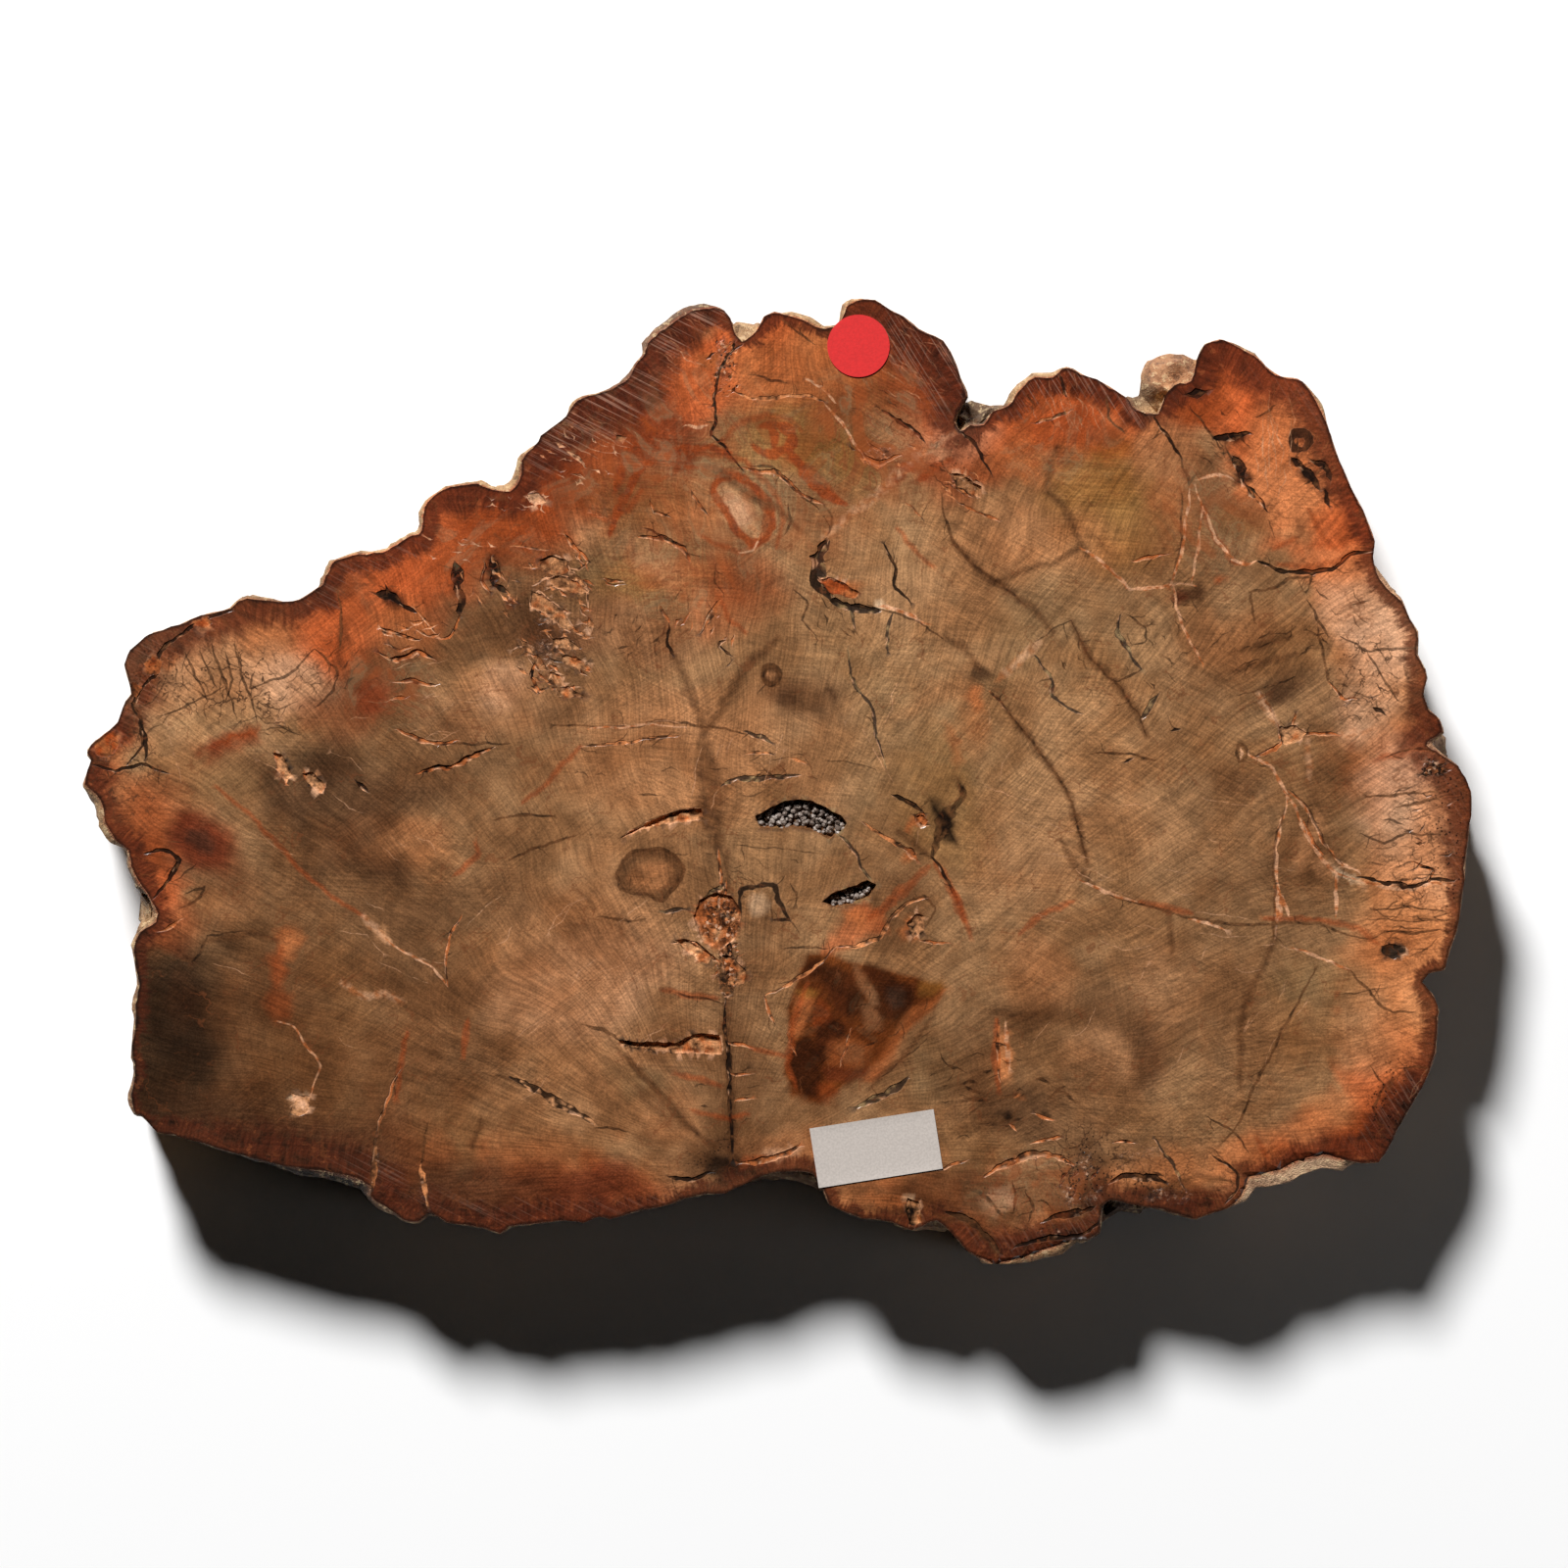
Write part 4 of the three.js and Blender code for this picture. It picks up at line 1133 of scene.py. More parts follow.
SeamKind = namedtuple("SeamKind", "main fleck flecks depth dull soft strength glint branches")

# The looks of a seam: its colour, the colour and share of its flecks, depth in mm, whether it is dull (1) or
# takes the polish (0), softness of its edges in mm, strength, share of its lit side that gets a painted
# highlight, side cracks for each mm
SEAM_KINDS = {
    "hair": SeamKind("char", "umber", 0.35, 0, 0, 0.08, 0.72, 0, 0.10),
    "thin": SeamKind("umber", "char", 0.30, 0, 0, 0.16, 0.80, 0, 0.08),
    "black": SeamKind("char", "umber", 0.20, 0.20, 1, 0.10, 0.95, 0.20, 0.25),
    "open": SeamKind("char", "copper", 0.50, 0.30, 1, 0.08, 1, 0.50, 0.20),
    "grey": SeamKind("charcoal", "ash", 0.30, 0.12, 1, 0.12, 0.92, 0.35, 0.12),
    "spindle": SeamKind("olive", "sand", 0.30, 0.12, 1, 0.12, 0.95, 0.30, 0.05),
    "beads": SeamKind("walnut", "peach", 0.50, 0.12, 1, 0.08, 0.90, 0.30, 0.15),
    "pale": SeamKind("blush", "copper", 0.42, 0, 0, 0.12, 0.85, 0, 0.04),
    "tan": SeamKind("copper", "walnut", 0.40, 0.18, 1, 0.10, 0.95, 0.60, 0.15),
    "scratch": SeamKind("blush", "taupe", 0.35, 0, 0, 0.05, 0.45, 0, 0),
    "stain": SeamKind("umber", "walnut", 0.30, 0, 0, 0.60, 0.70, 0, 0),
    "rust": SeamKind("rust", "brick", 0.30, 0, 0, 0.45, 0.65, 0, 0),
    "chips": SeamKind("blush", "walnut", 0.35, 0.12, 1, 0.06, 0.95, 0.80, 0),
    "swirl": SeamKind("rust", "brick", 0.40, 0, 0, 0.40, 0.9, 0, 0),
    "pink": SeamKind("blush", "copper", 0.40, 0, 0, 0.60, 0.45, 0, 0),
    "ring": SeamKind("char", "walnut", 0.20, 0, 1, 0.16, 0.92, 0, 0.30),
    "column": SeamKind("umber", "walnut", 0.40, 0, 0, 0.90, 0.75, 0, 0),
}

# The looks of a hollow's floor: main colour, flecks, the colour of the painted shadow on part of its rim and
# of the dark patches and cracks of its floor, how strongly the painted highlight on another part of its rim
# shows
PIT_KINDS = {
    "tan_pit": ("sand", "copper", "char", 0.8),
    "rust_pit": ("copper", "rust", "char", 0.8),
    "brown_pit": ("copper", "sand", "walnut", 0.8),
    "chip_pit": ("sand", "blush", "walnut", 0.8),
    "knot": ("copper", "rust", "walnut", 0.15),
    "flake": ("sand", "copper", "walnut", 1),
    "char_pit": ("charcoal", "walnut", "char", 0.8),
    "vug": ("grey_brown", "ash", "umber", 0),
}

# What the slab's mesh stores at its points beside the tone: distance from the edge, place along it and width
# of the dark band there, all in mm, and how strongly each pattern shows
STORED = (
    "rim_gap", "rim_along", "dark_band", "rubble", "dull", "mark", "speckle", "crazing", "streaks", "agate")

# How far short cracks stray from their group's direction, in degrees, for scratches and for the others
SCRATCH_SPREAD, CRACK_SPREAD = 5, 22
# Share of a crystal hollow's depth at which its floor lies, with the crust above it
VUG_FLOOR = 0.55
# Gaps in mm: between seams and the edge, between other points and seams, between a pit's floor and its rim
EDGE_CLEAR, SEAM_CLEAR, RIM_CLEAR = 0.4, 0.32, 0.2
# How far the small light stands beside the slice, in metres
FILL_SPOT = (0.34, -0.16, 0.13)


def rows_of(text):
    """The rows of a table as lists of words, without its headings."""
    return [line.split() for line in text.strip().splitlines() if not line.startswith("#")]


def pair(word, mark=","):
    """Two numbers that a mark parts."""
    first, second = word.split(mark)
    return float(first), float(second)


def place(point):
    """A place on the face, in mm from the middle of the slice."""
    return (point[0] - FACE_MIDDLE[0]) * PIXEL, (FACE_MIDDLE[1] - point[1]) * PIXEL


def linear(code):
    """Linear red, green and blue of an sRGB hex value."""
    channels = [int(code[i:i + 2], 16) / 255 for i in (0, 2, 4)]
    return tuple(c / 12.92 if c <= 0.04045 else ((c + 0.055) / 1.055) ** 2.4 for c in channels)


def colour_property(name, description, code):
    """A colour whose default is an sRGB hex value."""
    return bpy.props.FloatVectorProperty(
        name=name, description=description, subtype="COLOR", size=3, min=0, max=1, default=linear(code))


def number_property(name, description, default, **options):
    """A number with its default."""
    return bpy.props.FloatProperty(name=name, description=description, default=default, **options)


def length_property(name, description, default):
    """A length that is kept in metres and whose default is given in mm."""
    return number_property(name, description, default * MM, subtype="DISTANCE", unit="LENGTH", precision=5)


def angle_property(name, description, default):
    """An angle whose default is given in degrees."""
    return number_property(name, description, math.radians(default), subtype="ANGLE")


class PaletteSettings(bpy.types.PropertyGroup):
    taupe: colour_property("Taupe", "Body of the stone", "8f6d4d")
    grey_brown: colour_property("Grey brown", "Shaded body of the stone", "765439")
    clay: colour_property("Clay", "Warm body of the stone", "a2704b")
    sand: colour_property("Sand", "Pale seams and patches", "b2845f")
    blush: colour_property("Blush", "Palest zones", "cfa384")
    cream: colour_property("Cream", "Chips and small chalcedony patches", "dcc3a6")
    peach: colour_property("Peach", "Right-hand rim", "cb8a5c")
    copper: colour_property("Copper", "Soft orange patches", "a8653b")
    ochre: colour_property("Ochre", "Yellow-brown patches", "8c642f")
    honey: colour_property("Honey", "Brown patches with a yellow cast", "785333")
    flame: colour_property("Flame", "Bright iron-orange zones", "c06236")
    rust: colour_property("Rust", "Iron-red zones", "90441f")
    brick: colour_property("Brick", "Dark red zones", "7a3a20")
    maroon: colour_property("Maroon", "Darkest red zones", "5c2a18")
    plum: colour_property("Plum", "Purple-brown rim", "44261a")
    umber: colour_property("Umber", "Brown shading", "5c3e27")
    walnut: colour_property("Walnut", "Dark brown shading", "40291a")
    olive: colour_property("Olive", "Near-black green-brown corner", "24180f")
    amber: colour_property("Amber", "Glassy orange-brown patch", "62310f")
    resin: colour_property("Resin", "Glassy dark patch", "391c0b")
    ash: colour_property("Ash", "Grey chalcedony", "8a7656")
    charcoal: colour_property("Charcoal", "Dark grey drusy seams", "352b24")
    char: colour_property("Char", "Black fillings", "150d09")
    bark: colour_property("Bark", "Broken bark wall", "a68159")
    dust: colour_property("Saw dust", "Dull film on the sawn underside", "9c8164")


class SlabSettings(bpy.types.PropertyGroup):
    fine_grid: length_property("Fine grid", "Distance between the points where colours change fast", 0.55)
    face_grid: length_property("Face grid", "Distance between the points of the face elsewhere", 1.2)
    pit_grid: length_property("Pit grid", "Distance between the points on the floor of a pit", 0.42)
    seam_step: length_property("Seam step", "Distance between the points along a seam", 0.62)
    seam_wander: length_property("Seam wander", "How far a seam strays from its course", 0.24)
    check_width: length_property("Side crack width", "Width of the small cracks beside a seam", 0.2)
    base_grid: length_property("Base grid", "Distance between the points of the underside", 4)
    wall_cuts: bpy.props.IntProperty(
        name="Wall cuts", description="Cuts in each edge of the wall", default=2, min=1)
    wall_pull: number_property("Wall pull", "Share of the bark's overhang that is worn back to the edge", 0.5)
    bark_relief: length_property("Bark relief", "Height of the fine relief of the bark", 0.42)
    edge_chips: length_property("Edge chips", "How far the polished edge is chipped back", 0.42)


class CrustSettings(bpy.types.PropertyGroup):
    quartz: colour_property("Quartz", "Clear grey crystals", "978a80")
    smoky: colour_property("Smoky quartz", "Smoky patches of the crystals", "6a5a50")
    spacing: length_property("Crystal spacing", "Distance between neighbouring crystals", 0.66)
    radius: length_property("Crystal radius", "Half the thickness of a large crystal", 0.5)


class StickerSettings(bpy.types.PropertyGroup):
    red: colour_property("Red", "Printed red of the dot", "d22121")
    white: colour_property("White", "Paper of the label", "bdb3ab")
    corner_lift: length_property("Corner lift", "How far the label's corners curl up", 0.16)
    paper_grain: length_property("Paper grain", "Size of the fibres, drawn coarser than they are", 0.35)


class StageSettings(bpy.types.PropertyGroup):
    table: colour_property("Table", "White table", "f4f4f4")
    camera_height: length_property("Camera height", "Distance from the face to the camera", 1250)
    key_angle: angle_property("Key height", "Height of the key light above the table", 38.8)
    key_turn: angle_property("Key side", "Side that the key light stands on, from +X", 110)
    key_distance: length_property("Key distance", "Distance of the key light from the slice", 3200)
    key_size: length_property("Key size", "Width of the key light's softbox", 680)
    key_power: number_property("Key power", "Power of the key light", 184, unit="POWER")
    fill_size: length_property("Fill size", "Width of the small light beside the slice", 140)
    fill_power: number_property("Fill power", "Power of the small light", 0.058, unit="POWER")
    room_light: number_property("Room light", "Strength of the dim light from all around", 0.0013)


def settings(name):
    """A group of settings by its name on the scene."""
    return getattr(bpy.context.scene, name)


def palette(name):
    """A colour of the stone as linear red, green and blue."""
    return np.array(getattr(settings("slice_palette"), name)[:])


# Measuring in the plane of the face, in mm


def drift(points, size, seed):
    """Smooth repeatable noise from -1 to 1 at places in mm, with lumps of one size."""
    period = 128
    lattice = np.random.default_rng(seed).uniform(-1, 1, (period, period))
    cell = np.asarray(points, float) / size + 1000
    low = np.floor(cell).astype(int)
    share = cell - low
    share = share * share * (3 - 2 * share)
    x, y = share[:, 0], share[:, 1]

    def corner(dx, dy):
        return lattice[(low[:, 0] + dx) % period, (low[:, 1] + dy) % period]

    near = corner(0, 0) * (1 - x) + corner(1, 0) * x
    far = corner(0, 1) * (1 - x) + corner(1, 1) * x
    return near * (1 - y) + far * y


def soft_step(low, high, value):
    """0 below low, 1 above high, and smooth between."""
    share = np.clip((value - low) / (high - low), 0, 1)
    return share * share * (3 - 2 * share)


def lengths_along(path):
    """How far along a path each of its points lies."""
    return np.concatenate([[0], np.cumsum(np.hypot(*np.diff(path, axis=0).T))])


def points_at(path, places):
    """The points of a path at some lengths along it."""
    return np.column_stack([np.interp(places, lengths_along(path), path[:, axis]) for axis in (0, 1)])


def along_path(path, step):
    """Points at an even step along a path."""
    path = np.asarray(path, float)
    length = lengths_along(path)[-1]
    return points_at(path, np.linspace(0, length, max(3, int(length / step) + 1)))


def sideways(line):
    """Unit directions square to a line of points, to its left."""
    run = np.gradient(line, axis=0)
    run /= np.maximum(np.hypot(*run.T), 1e-9)[:, None]
    return np.column_stack([-run[:, 1], run[:, 0]])


def inside(points, ring):
    """True for each point that lies inside a closed ring."""
    result = np.zeros(len(points), bool)
    x, y = points[:, 0], points[:, 1]
    for (x0, y0), (x1, y1) in zip(ring, np.roll(ring, -1, axis=0)):
        if y0 == y1:
            continue
        crosses = (y0 > y) != (y1 > y)
        result ^= crosses & (x < (x1 - x0) * (y - y0) / (y1 - y0) + x0)
    return result


def in_box(points, low, high):
    """Indices of the points inside a box."""
    return np.flatnonzero(np.all((points > low) & (points < high), axis=1))


def line_distance(points, line, closed=False):
    """Distance from each point to a line, the place of its nearest point from 0 to 1, and its side."""
    line = np.vstack([line, line[:1]]) if closed else line
    best = np.full(len(points), np.inf)
    where = np.zeros(len(points))
    side = np.zeros(len(points))
    for i in range(len(line) - 1):
        run = line[i + 1] - line[i]
        away = points - line[i]
        share = np.clip(away @ run / max(run @ run, 1e-12), 0, 1)
        gap = np.hypot(*(away - share[:, None] * run).T)
        nearer = gap < best
        best[nearer] = gap[nearer]
        where[nearer] = (i + share[nearer]) / (len(line) - 1)
        side[nearer] = np.sign(run[0] * away[nearer, 1] - run[1] * away[nearer, 0])
    return best, where, side


def point_tree(points):
    """A tree that finds the nearest of some points in the plane."""
    tree = KDTree(len(points))
    for i, (x, y) in enumerate(points):
        tree.insert((x, y, 0), i)
    tree.balance()
    return tree


def oval(points, middle, half_width, half_height, turn=0):
    """Distance from the middle of an oval, 1 on its edge."""
    x, y = (points - place(middle)).T
    turn = math.radians(float(turn))
    along, across = x * math.cos(turn) + y * math.sin(turn), y * math.cos(turn) - x * math.sin(turn)
    return np.hypot(along / (half_width * PIXEL), across / (half_height * PIXEL))


class Seam:
    """A crack or mineral seam in the face: its middle line, half widths and look."""

    def __init__(self, number, kind, width, points):
        slab = settings("slice_slab")
        self.kind = SEAM_KINDS[kind]
        line = along_path(points, slab.seam_step / MM)
        share = np.linspace(0, 1, len(line))
        closed = np.allclose(points[0], points[-1])
        fade = np.ones(len(line)) if closed else np.sin(np.pi * share) ** 0.45
        shift = drift(line, 2.1, 40 + number % 9) + 0.6 * drift(line, 0.9, 60 + number % 7)
        shift += 0.35 * drift(line, 0.45, 70 + number % 5)
        wander = slab.seam_wander / MM * np.clip(fade * 1.2, 0, 1)
        self.line = line + sideways(line) * (shift * wander)[:, None]
        uneven = 1 + 0.5 * drift(line * 1.3, 1.1, 80 + number % 11) + 0.3 * drift(line, 0.5, 30 + number % 8)
        self.half = 0.5 * width * PIXEL * np.maximum(uneven, 0.25) * np.maximum(fade, 0.2)
        self.reach = self.half.max() + self.kind.soft + 0.2

    def rows(self):
        """Lines of points along the seam: its middle, both sides and the stone just outside."""
        side = sideways(self.line)
        soft = self.kind.soft
        if soft > 0.4:
            offsets = [0, self.half + 0.4 * soft, self.half + soft]
        elif self.half.max() > 0.17:
            offsets = [0, self.half, self.half + soft]
        else:
            offsets = [0, self.half + soft]
        offsets += [-offset for offset in offsets[1:]]
        return [self.line + side * np.broadcast_to(offset, len(self.line))[:, None] for offset in offsets]

    def cover(self, points):
        """Indices of the points near the seam, their distance to it, its half width there and their side."""
        low, high = self.line.min(axis=0) - self.reach, self.line.max(axis=0) + self.reach
        near = in_box(points, low, high)
        gap, where, side = line_distance(points[near], self.line)
        half = np.interp(where, np.linspace(0, 1, len(self.half)), self.half)
        return near, gap, half, side

    def side_cracks(self, number):
        """Short side cracks that leave the seam."""
        random = np.random.default_rng(500 + number)
        length = np.hypot(*np.diff(self.line, axis=0).T).sum()
        side = sideways(self.line)
        cracks = []
        for _ in range(int(length * self.kind.branches + random.uniform())):
            i = random.integers(1, len(self.line) - 1)
            turn = math.radians(random.uniform(25, 155))
            sign = random.choice((-1, 1))
            run = np.array([side[i][1], -side[i][0]])
            way = run * math.cos(turn) + side[i] * math.sin(turn) * sign
            start = self.line[i] + side[i] * sign * self.half[i] * 0.6
            end = start + way * random.uniform(0.7, 2.4)
            cracks.append(Seam(number, "hair", settings("slice_slab").check_width / MM / PIXEL, [start, end]))
        return cracks


class Pit:
    """An open hollow in the face: its ragged rim, depth and look."""

    def __init__(self, number, kind, depth, corners, ragged=0.16):
        self.kind = kind
        self.depth = depth
        ring = along_path([place(corner) for corner in (*corners, corners[0])], 0.45)[:-1]
        shift = drift(ring, 0.9, 20 + number % 13) + 0.6 * drift(ring, 0.45, 30 + number % 5)
        self.ring = ring + sideways(ring) * (shift * ragged)[:, None]

    def rows(self):
        """The rim and a second ring just inside it, closed."""
        middle = self.ring.mean(axis=0)
        reach = np.hypot(*(self.ring - middle).T).mean()
        inner = middle + (self.ring - middle) * (1 - 0.16 / reach)
        return [np.vstack([ring, ring[:1]]) for ring in (self.ring, inner)]

    def cover(self, points):
        """Indices of the points in the pit and their distance from its rim."""
        low, high = self.ring.min(axis=0), self.ring.max(axis=0)
        near = in_box(points, low, high)
        near = near[inside(points[near], self.ring)]
        return near, line_distance(points[near], self.ring, closed=True)[0]


def vug_pits():
    """The two crystal-lined hollows, by the name of their crust."""
    pits = {}
    for number, (node, corners) in enumerate(VUGS.items()):
        floor = VUG_FLOOR * (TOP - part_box(node)[0][2] / MM)
        pits[node] = Pit(number, "vug", floor, [pair(word) for word in corners.split()], ragged=0.1)
    return pits


def face_features():
    """Every seam, short crack and hollow of the face."""
    seams = []
    for kind, width, *words in rows_of(SEAMS):
        seam = Seam(len(seams), kind, float(width), [place(pair(word)) for word in words])
        seams.append(seam)
        seams.extend(seam.side_cracks(len(seams)))
    for number, (kind, width, count, middle, halves, turn, length) in enumerate(rows_of(CHECKS)):
        random = np.random.default_rng(900 + number)
        spread = SCRATCH_SPREAD if kind == "scratch" else CRACK_SPREAD
        middle, halves = np.array(place(pair(middle))), np.array(pair(halves, "x")) * PIXEL
        for _ in range(int(count)):
            reach = math.sqrt(random.uniform())
            around = random.uniform(0, math.tau)
            spot = middle + halves * reach * (math.cos(around), math.sin(around))
            angle = math.radians(float(turn) + random.normal(0, spread))
            way = np.array([math.cos(angle), math.sin(angle)])
            way = way * float(length) * PIXEL * random.uniform(0.3, 1) / 2
            bend = np.array([-way[1], way[0]]) * random.uniform(-0.35, 0.35)
            seams.append(Seam(len(seams), kind, float(width), [spot - way, spot + bend, spot + way]))
    pits = [Pit(number, kind, float(depth), [pair(word) for word in words])
            for number, (kind, depth, *words) in enumerate(rows_of(PITS))]
    return seams, pits + list(vug_pits().values())


# The slab's mesh


def cad_copy(node):
    """A bmesh of a CAD node with its loose triangles joined."""
    bm = bmesh.new()
    bm.from_mesh(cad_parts[node].data)
    bmesh.ops.remove_doubles(bm, verts=bm.verts, dist=0.002 * MM)
    return bm


def flat_mm(verts):
    """Places of vertices seen from above, in mm."""
    return np.array([v.co[:2] for v in verts]) / MM


def keep_wall(bm):
    """Leaves only the wall of the slab: what joins the polished edge to the underside."""
    flat = [f for f in bm.faces if any(
        all(abs(v.co.z - height) < 0.01 * MM for v in f.verts) for height in (SLAB_LOW[2], SLAB_HIGH[2]))]
    bmesh.ops.delete(bm, geom=flat, context="FACES")
    start = min(bm.verts, key=lambda v: v.co.x)
    wall, waiting = {start}, [start]
    while waiting:
        for edge in waiting.pop().link_edges:
            for v in edge.verts:
                if v not in wall:
                    wall.add(v)
                    waiting.append(v)
    bmesh.ops.delete(bm, geom=[v for v in bm.verts if v not in wall], context="VERTS")


def ring_of(edges):
    """The corners of a closed chain of edges, in order."""
    links = {}
    for edge in edges:
        for v in edge.verts:
            links.setdefault(v, []).append(edge)
    first = edges[0].verts[0]
    ring, edge = [first], edges[0]
    v = edge.other_vert(first)
    while v is not first:
        ring.append(v)
        edge = next(e for e in links[v] if e is not edge)
        v = edge.other_vert(v)
    return ring


def open_ring(bm, height):
    """The open edge of the wall nearest to one height, laid flat at that height."""
    reach = 0.3 * (SLAB_HIGH[2] - SLAB_LOW[2])
    near = [e for e in bm.edges if e.is_boundary and all(abs(v.co.z - height) < reach for v in e.verts)]
    ring = ring_of(near)
    for v in ring:
        v.co.z = height
    return ring


def smooth_ledge(bm):
    """Rounds the first ledge, whose dips would lie in hard shadow."""
    middle, reach, _ = rows_of(LEDGES)[0]
    x, y = place(pair(middle))
    near = [v for v in bm.verts if not v.is_boundary
            and math.hypot(v.co.x / MM - x, v.co.y / MM - y) < float(reach) * PIXEL]
    for _ in range(5):
        bmesh.ops.smooth_vert(bm, verts=near, factor=0.5, use_axis_x=True, use_axis_y=True, use_axis_z=True)


def wear_wall(bm, rim):
    """Wears the bark's overhang back, and adds ledges and grains of broken bark and chips along the edge."""
    slab = settings("slice_slab")
    bm.normal_update()
    held = set(rim)
    edge = flat_mm(rim)
    tree = point_tree(edge)
    verts = list(bm.verts)
    spots = np.array([v.co[:] for v in verts]) / MM
    normals = np.array([v.normal[:] for v in verts])
    nearest = edge[[tree.find((x, y, 0))[1] for x, y in spots[:, :2]]]
    pull = np.full(len(spots), slab.wall_pull)
    upper = soft_step(0.45, 0.7, spots[:, 2] / TOP)
    for middle, reach, lift in rows_of(LEDGES):
        away = np.hypot(*(spots[:, :2] - place(pair(middle))).T) / (float(reach) * PIXEL)
        near = 1 - soft_step(0.75, 1.15, away)
        pull *= 1 - near
        spots[:, 2] += (TOP - 0.5 - spots[:, 2]) * near * upper * float(lift)
    spots[:, :2] += (nearest - spots[:, :2]) * pull[:, None]
    sheet = np.column_stack([spots[:, 0] + 0.7 * spots[:, 1], spots[:, 2]])
    across = np.column_stack([spots[:, 1] - 0.6 * spots[:, 0], spots[:, 2]])
    ridged = 1 - 2 * np.abs(drift(sheet * (1, 0.45), 1.9, 5))
    lumps = 0.8 * drift(across, 2.6, 6) + 0.5 * ridged + 0.45 * drift(sheet, 0.9, 7) * drift(across, 1.3, 8)
    push = lumps * slab.bark_relief / MM
    chips = 0.5 + 0.35 * drift(spots[:, :2], 2.2, 9) + 0.35 * drift(spots[:, :2], 0.7, 10)
    chips *= slab.edge_chips / MM
    low, high = np.array(SLAB_LOW) / MM, np.array(SLAB_HIGH) / MM
    for v, spot, normal, amount, chip in zip(verts, spots, normals, push, chips):
        if v in held:
            outward = Vector((normal[0], normal[1], 0)).normalized()
            moved = spot - np.array(outward) * chip
        elif spot[2] < low[2] + 0.01:
            moved = spot + normal * (1, 1, 0) * amount * 0.4
        else:
            fade = min(1, (high[2] - spot[2]) / 1.2, (spot[2] - low[2]) / 1.2)
            moved = spot + normal * amount * max(fade, 0.15)
            moved[2] = np.clip(moved[2], low[2] + 0.05, high[2] - 0.05)
        v.co = Vector(np.clip(moved, low, high)) * MM


def hex_grid(low, high, spacing, seed, jitter=0.2):
    """Points of a slightly shaken triangular grid over a box."""
    columns = np.arange(low[0], high[0], spacing)
    rows = np.arange(low[1], high[1], spacing * math.sqrt(3) / 2)
    x, y = np.meshgrid(columns, rows)
    x = x + (np.arange(len(rows)) % 2)[:, None] * spacing / 2
    points = np.column_stack([x.ravel(), y.ravel()])
    return points + np.random.default_rng(seed).uniform(-jitter, jitter, points.shape) * spacing


def nearest_gap(points, others):
    """The distance from each point to the nearest of the others."""
    tree = point_tree(others)
    return np.array([tree.find((x, y, 0))[2] for x, y in points])


def clear_of(points, others, gap):
    """The points that keep a distance from all the others."""
    return points[nearest_gap(points, others) > gap]


def fill_sheet(bm, ring, lines, loose, height, material):
    """Closes a ring with a flat sheet that has edges along the lines and corners at the loose points.

    Delaunay triangles are used here because a seam is thinner than any grid could follow.
    """
    points = [tuple(v.co[:2]) for v in ring]
    count = len(ring)
    edges = []
    for line, kept in lines:
        start = len(points)
        points.extend(tuple(point) for point in line * MM)
        edges.extend((start + i, start + i + 1) for i in range(len(line) - 1) if kept[i] and kept[i + 1])
    points.extend(tuple(point) for point in loose * MM)
    free = range(len(points) - len(loose), len(points))
    order = sorted({*range(count), *(i for edge in edges for i in edge), *free})
    place_of = {old: new for new, old in enumerate(order)}
    inputs = [Vector(points[i]) for i in order]
    edges = [(place_of[a], place_of[b]) for a, b in edges]
    flat, _, faces, sources, _, _ = delaunay_2d_cdt(inputs, edges, [list(range(count))], 1, 1e-7)
    verts = []
    for spot, source in zip(flat, sources):
        known = [i for i in source if i < count]
        verts.append(ring[known[0]] if known else bm.verts.new((spot.x, spot.y, height)))
    made = []
    for face in faces:
        corners = [verts[i] for i in face]
        if len(set(corners)) == 3:
            made.append(bm.faces.new(corners))
            made[-1].material_index = material
    return made


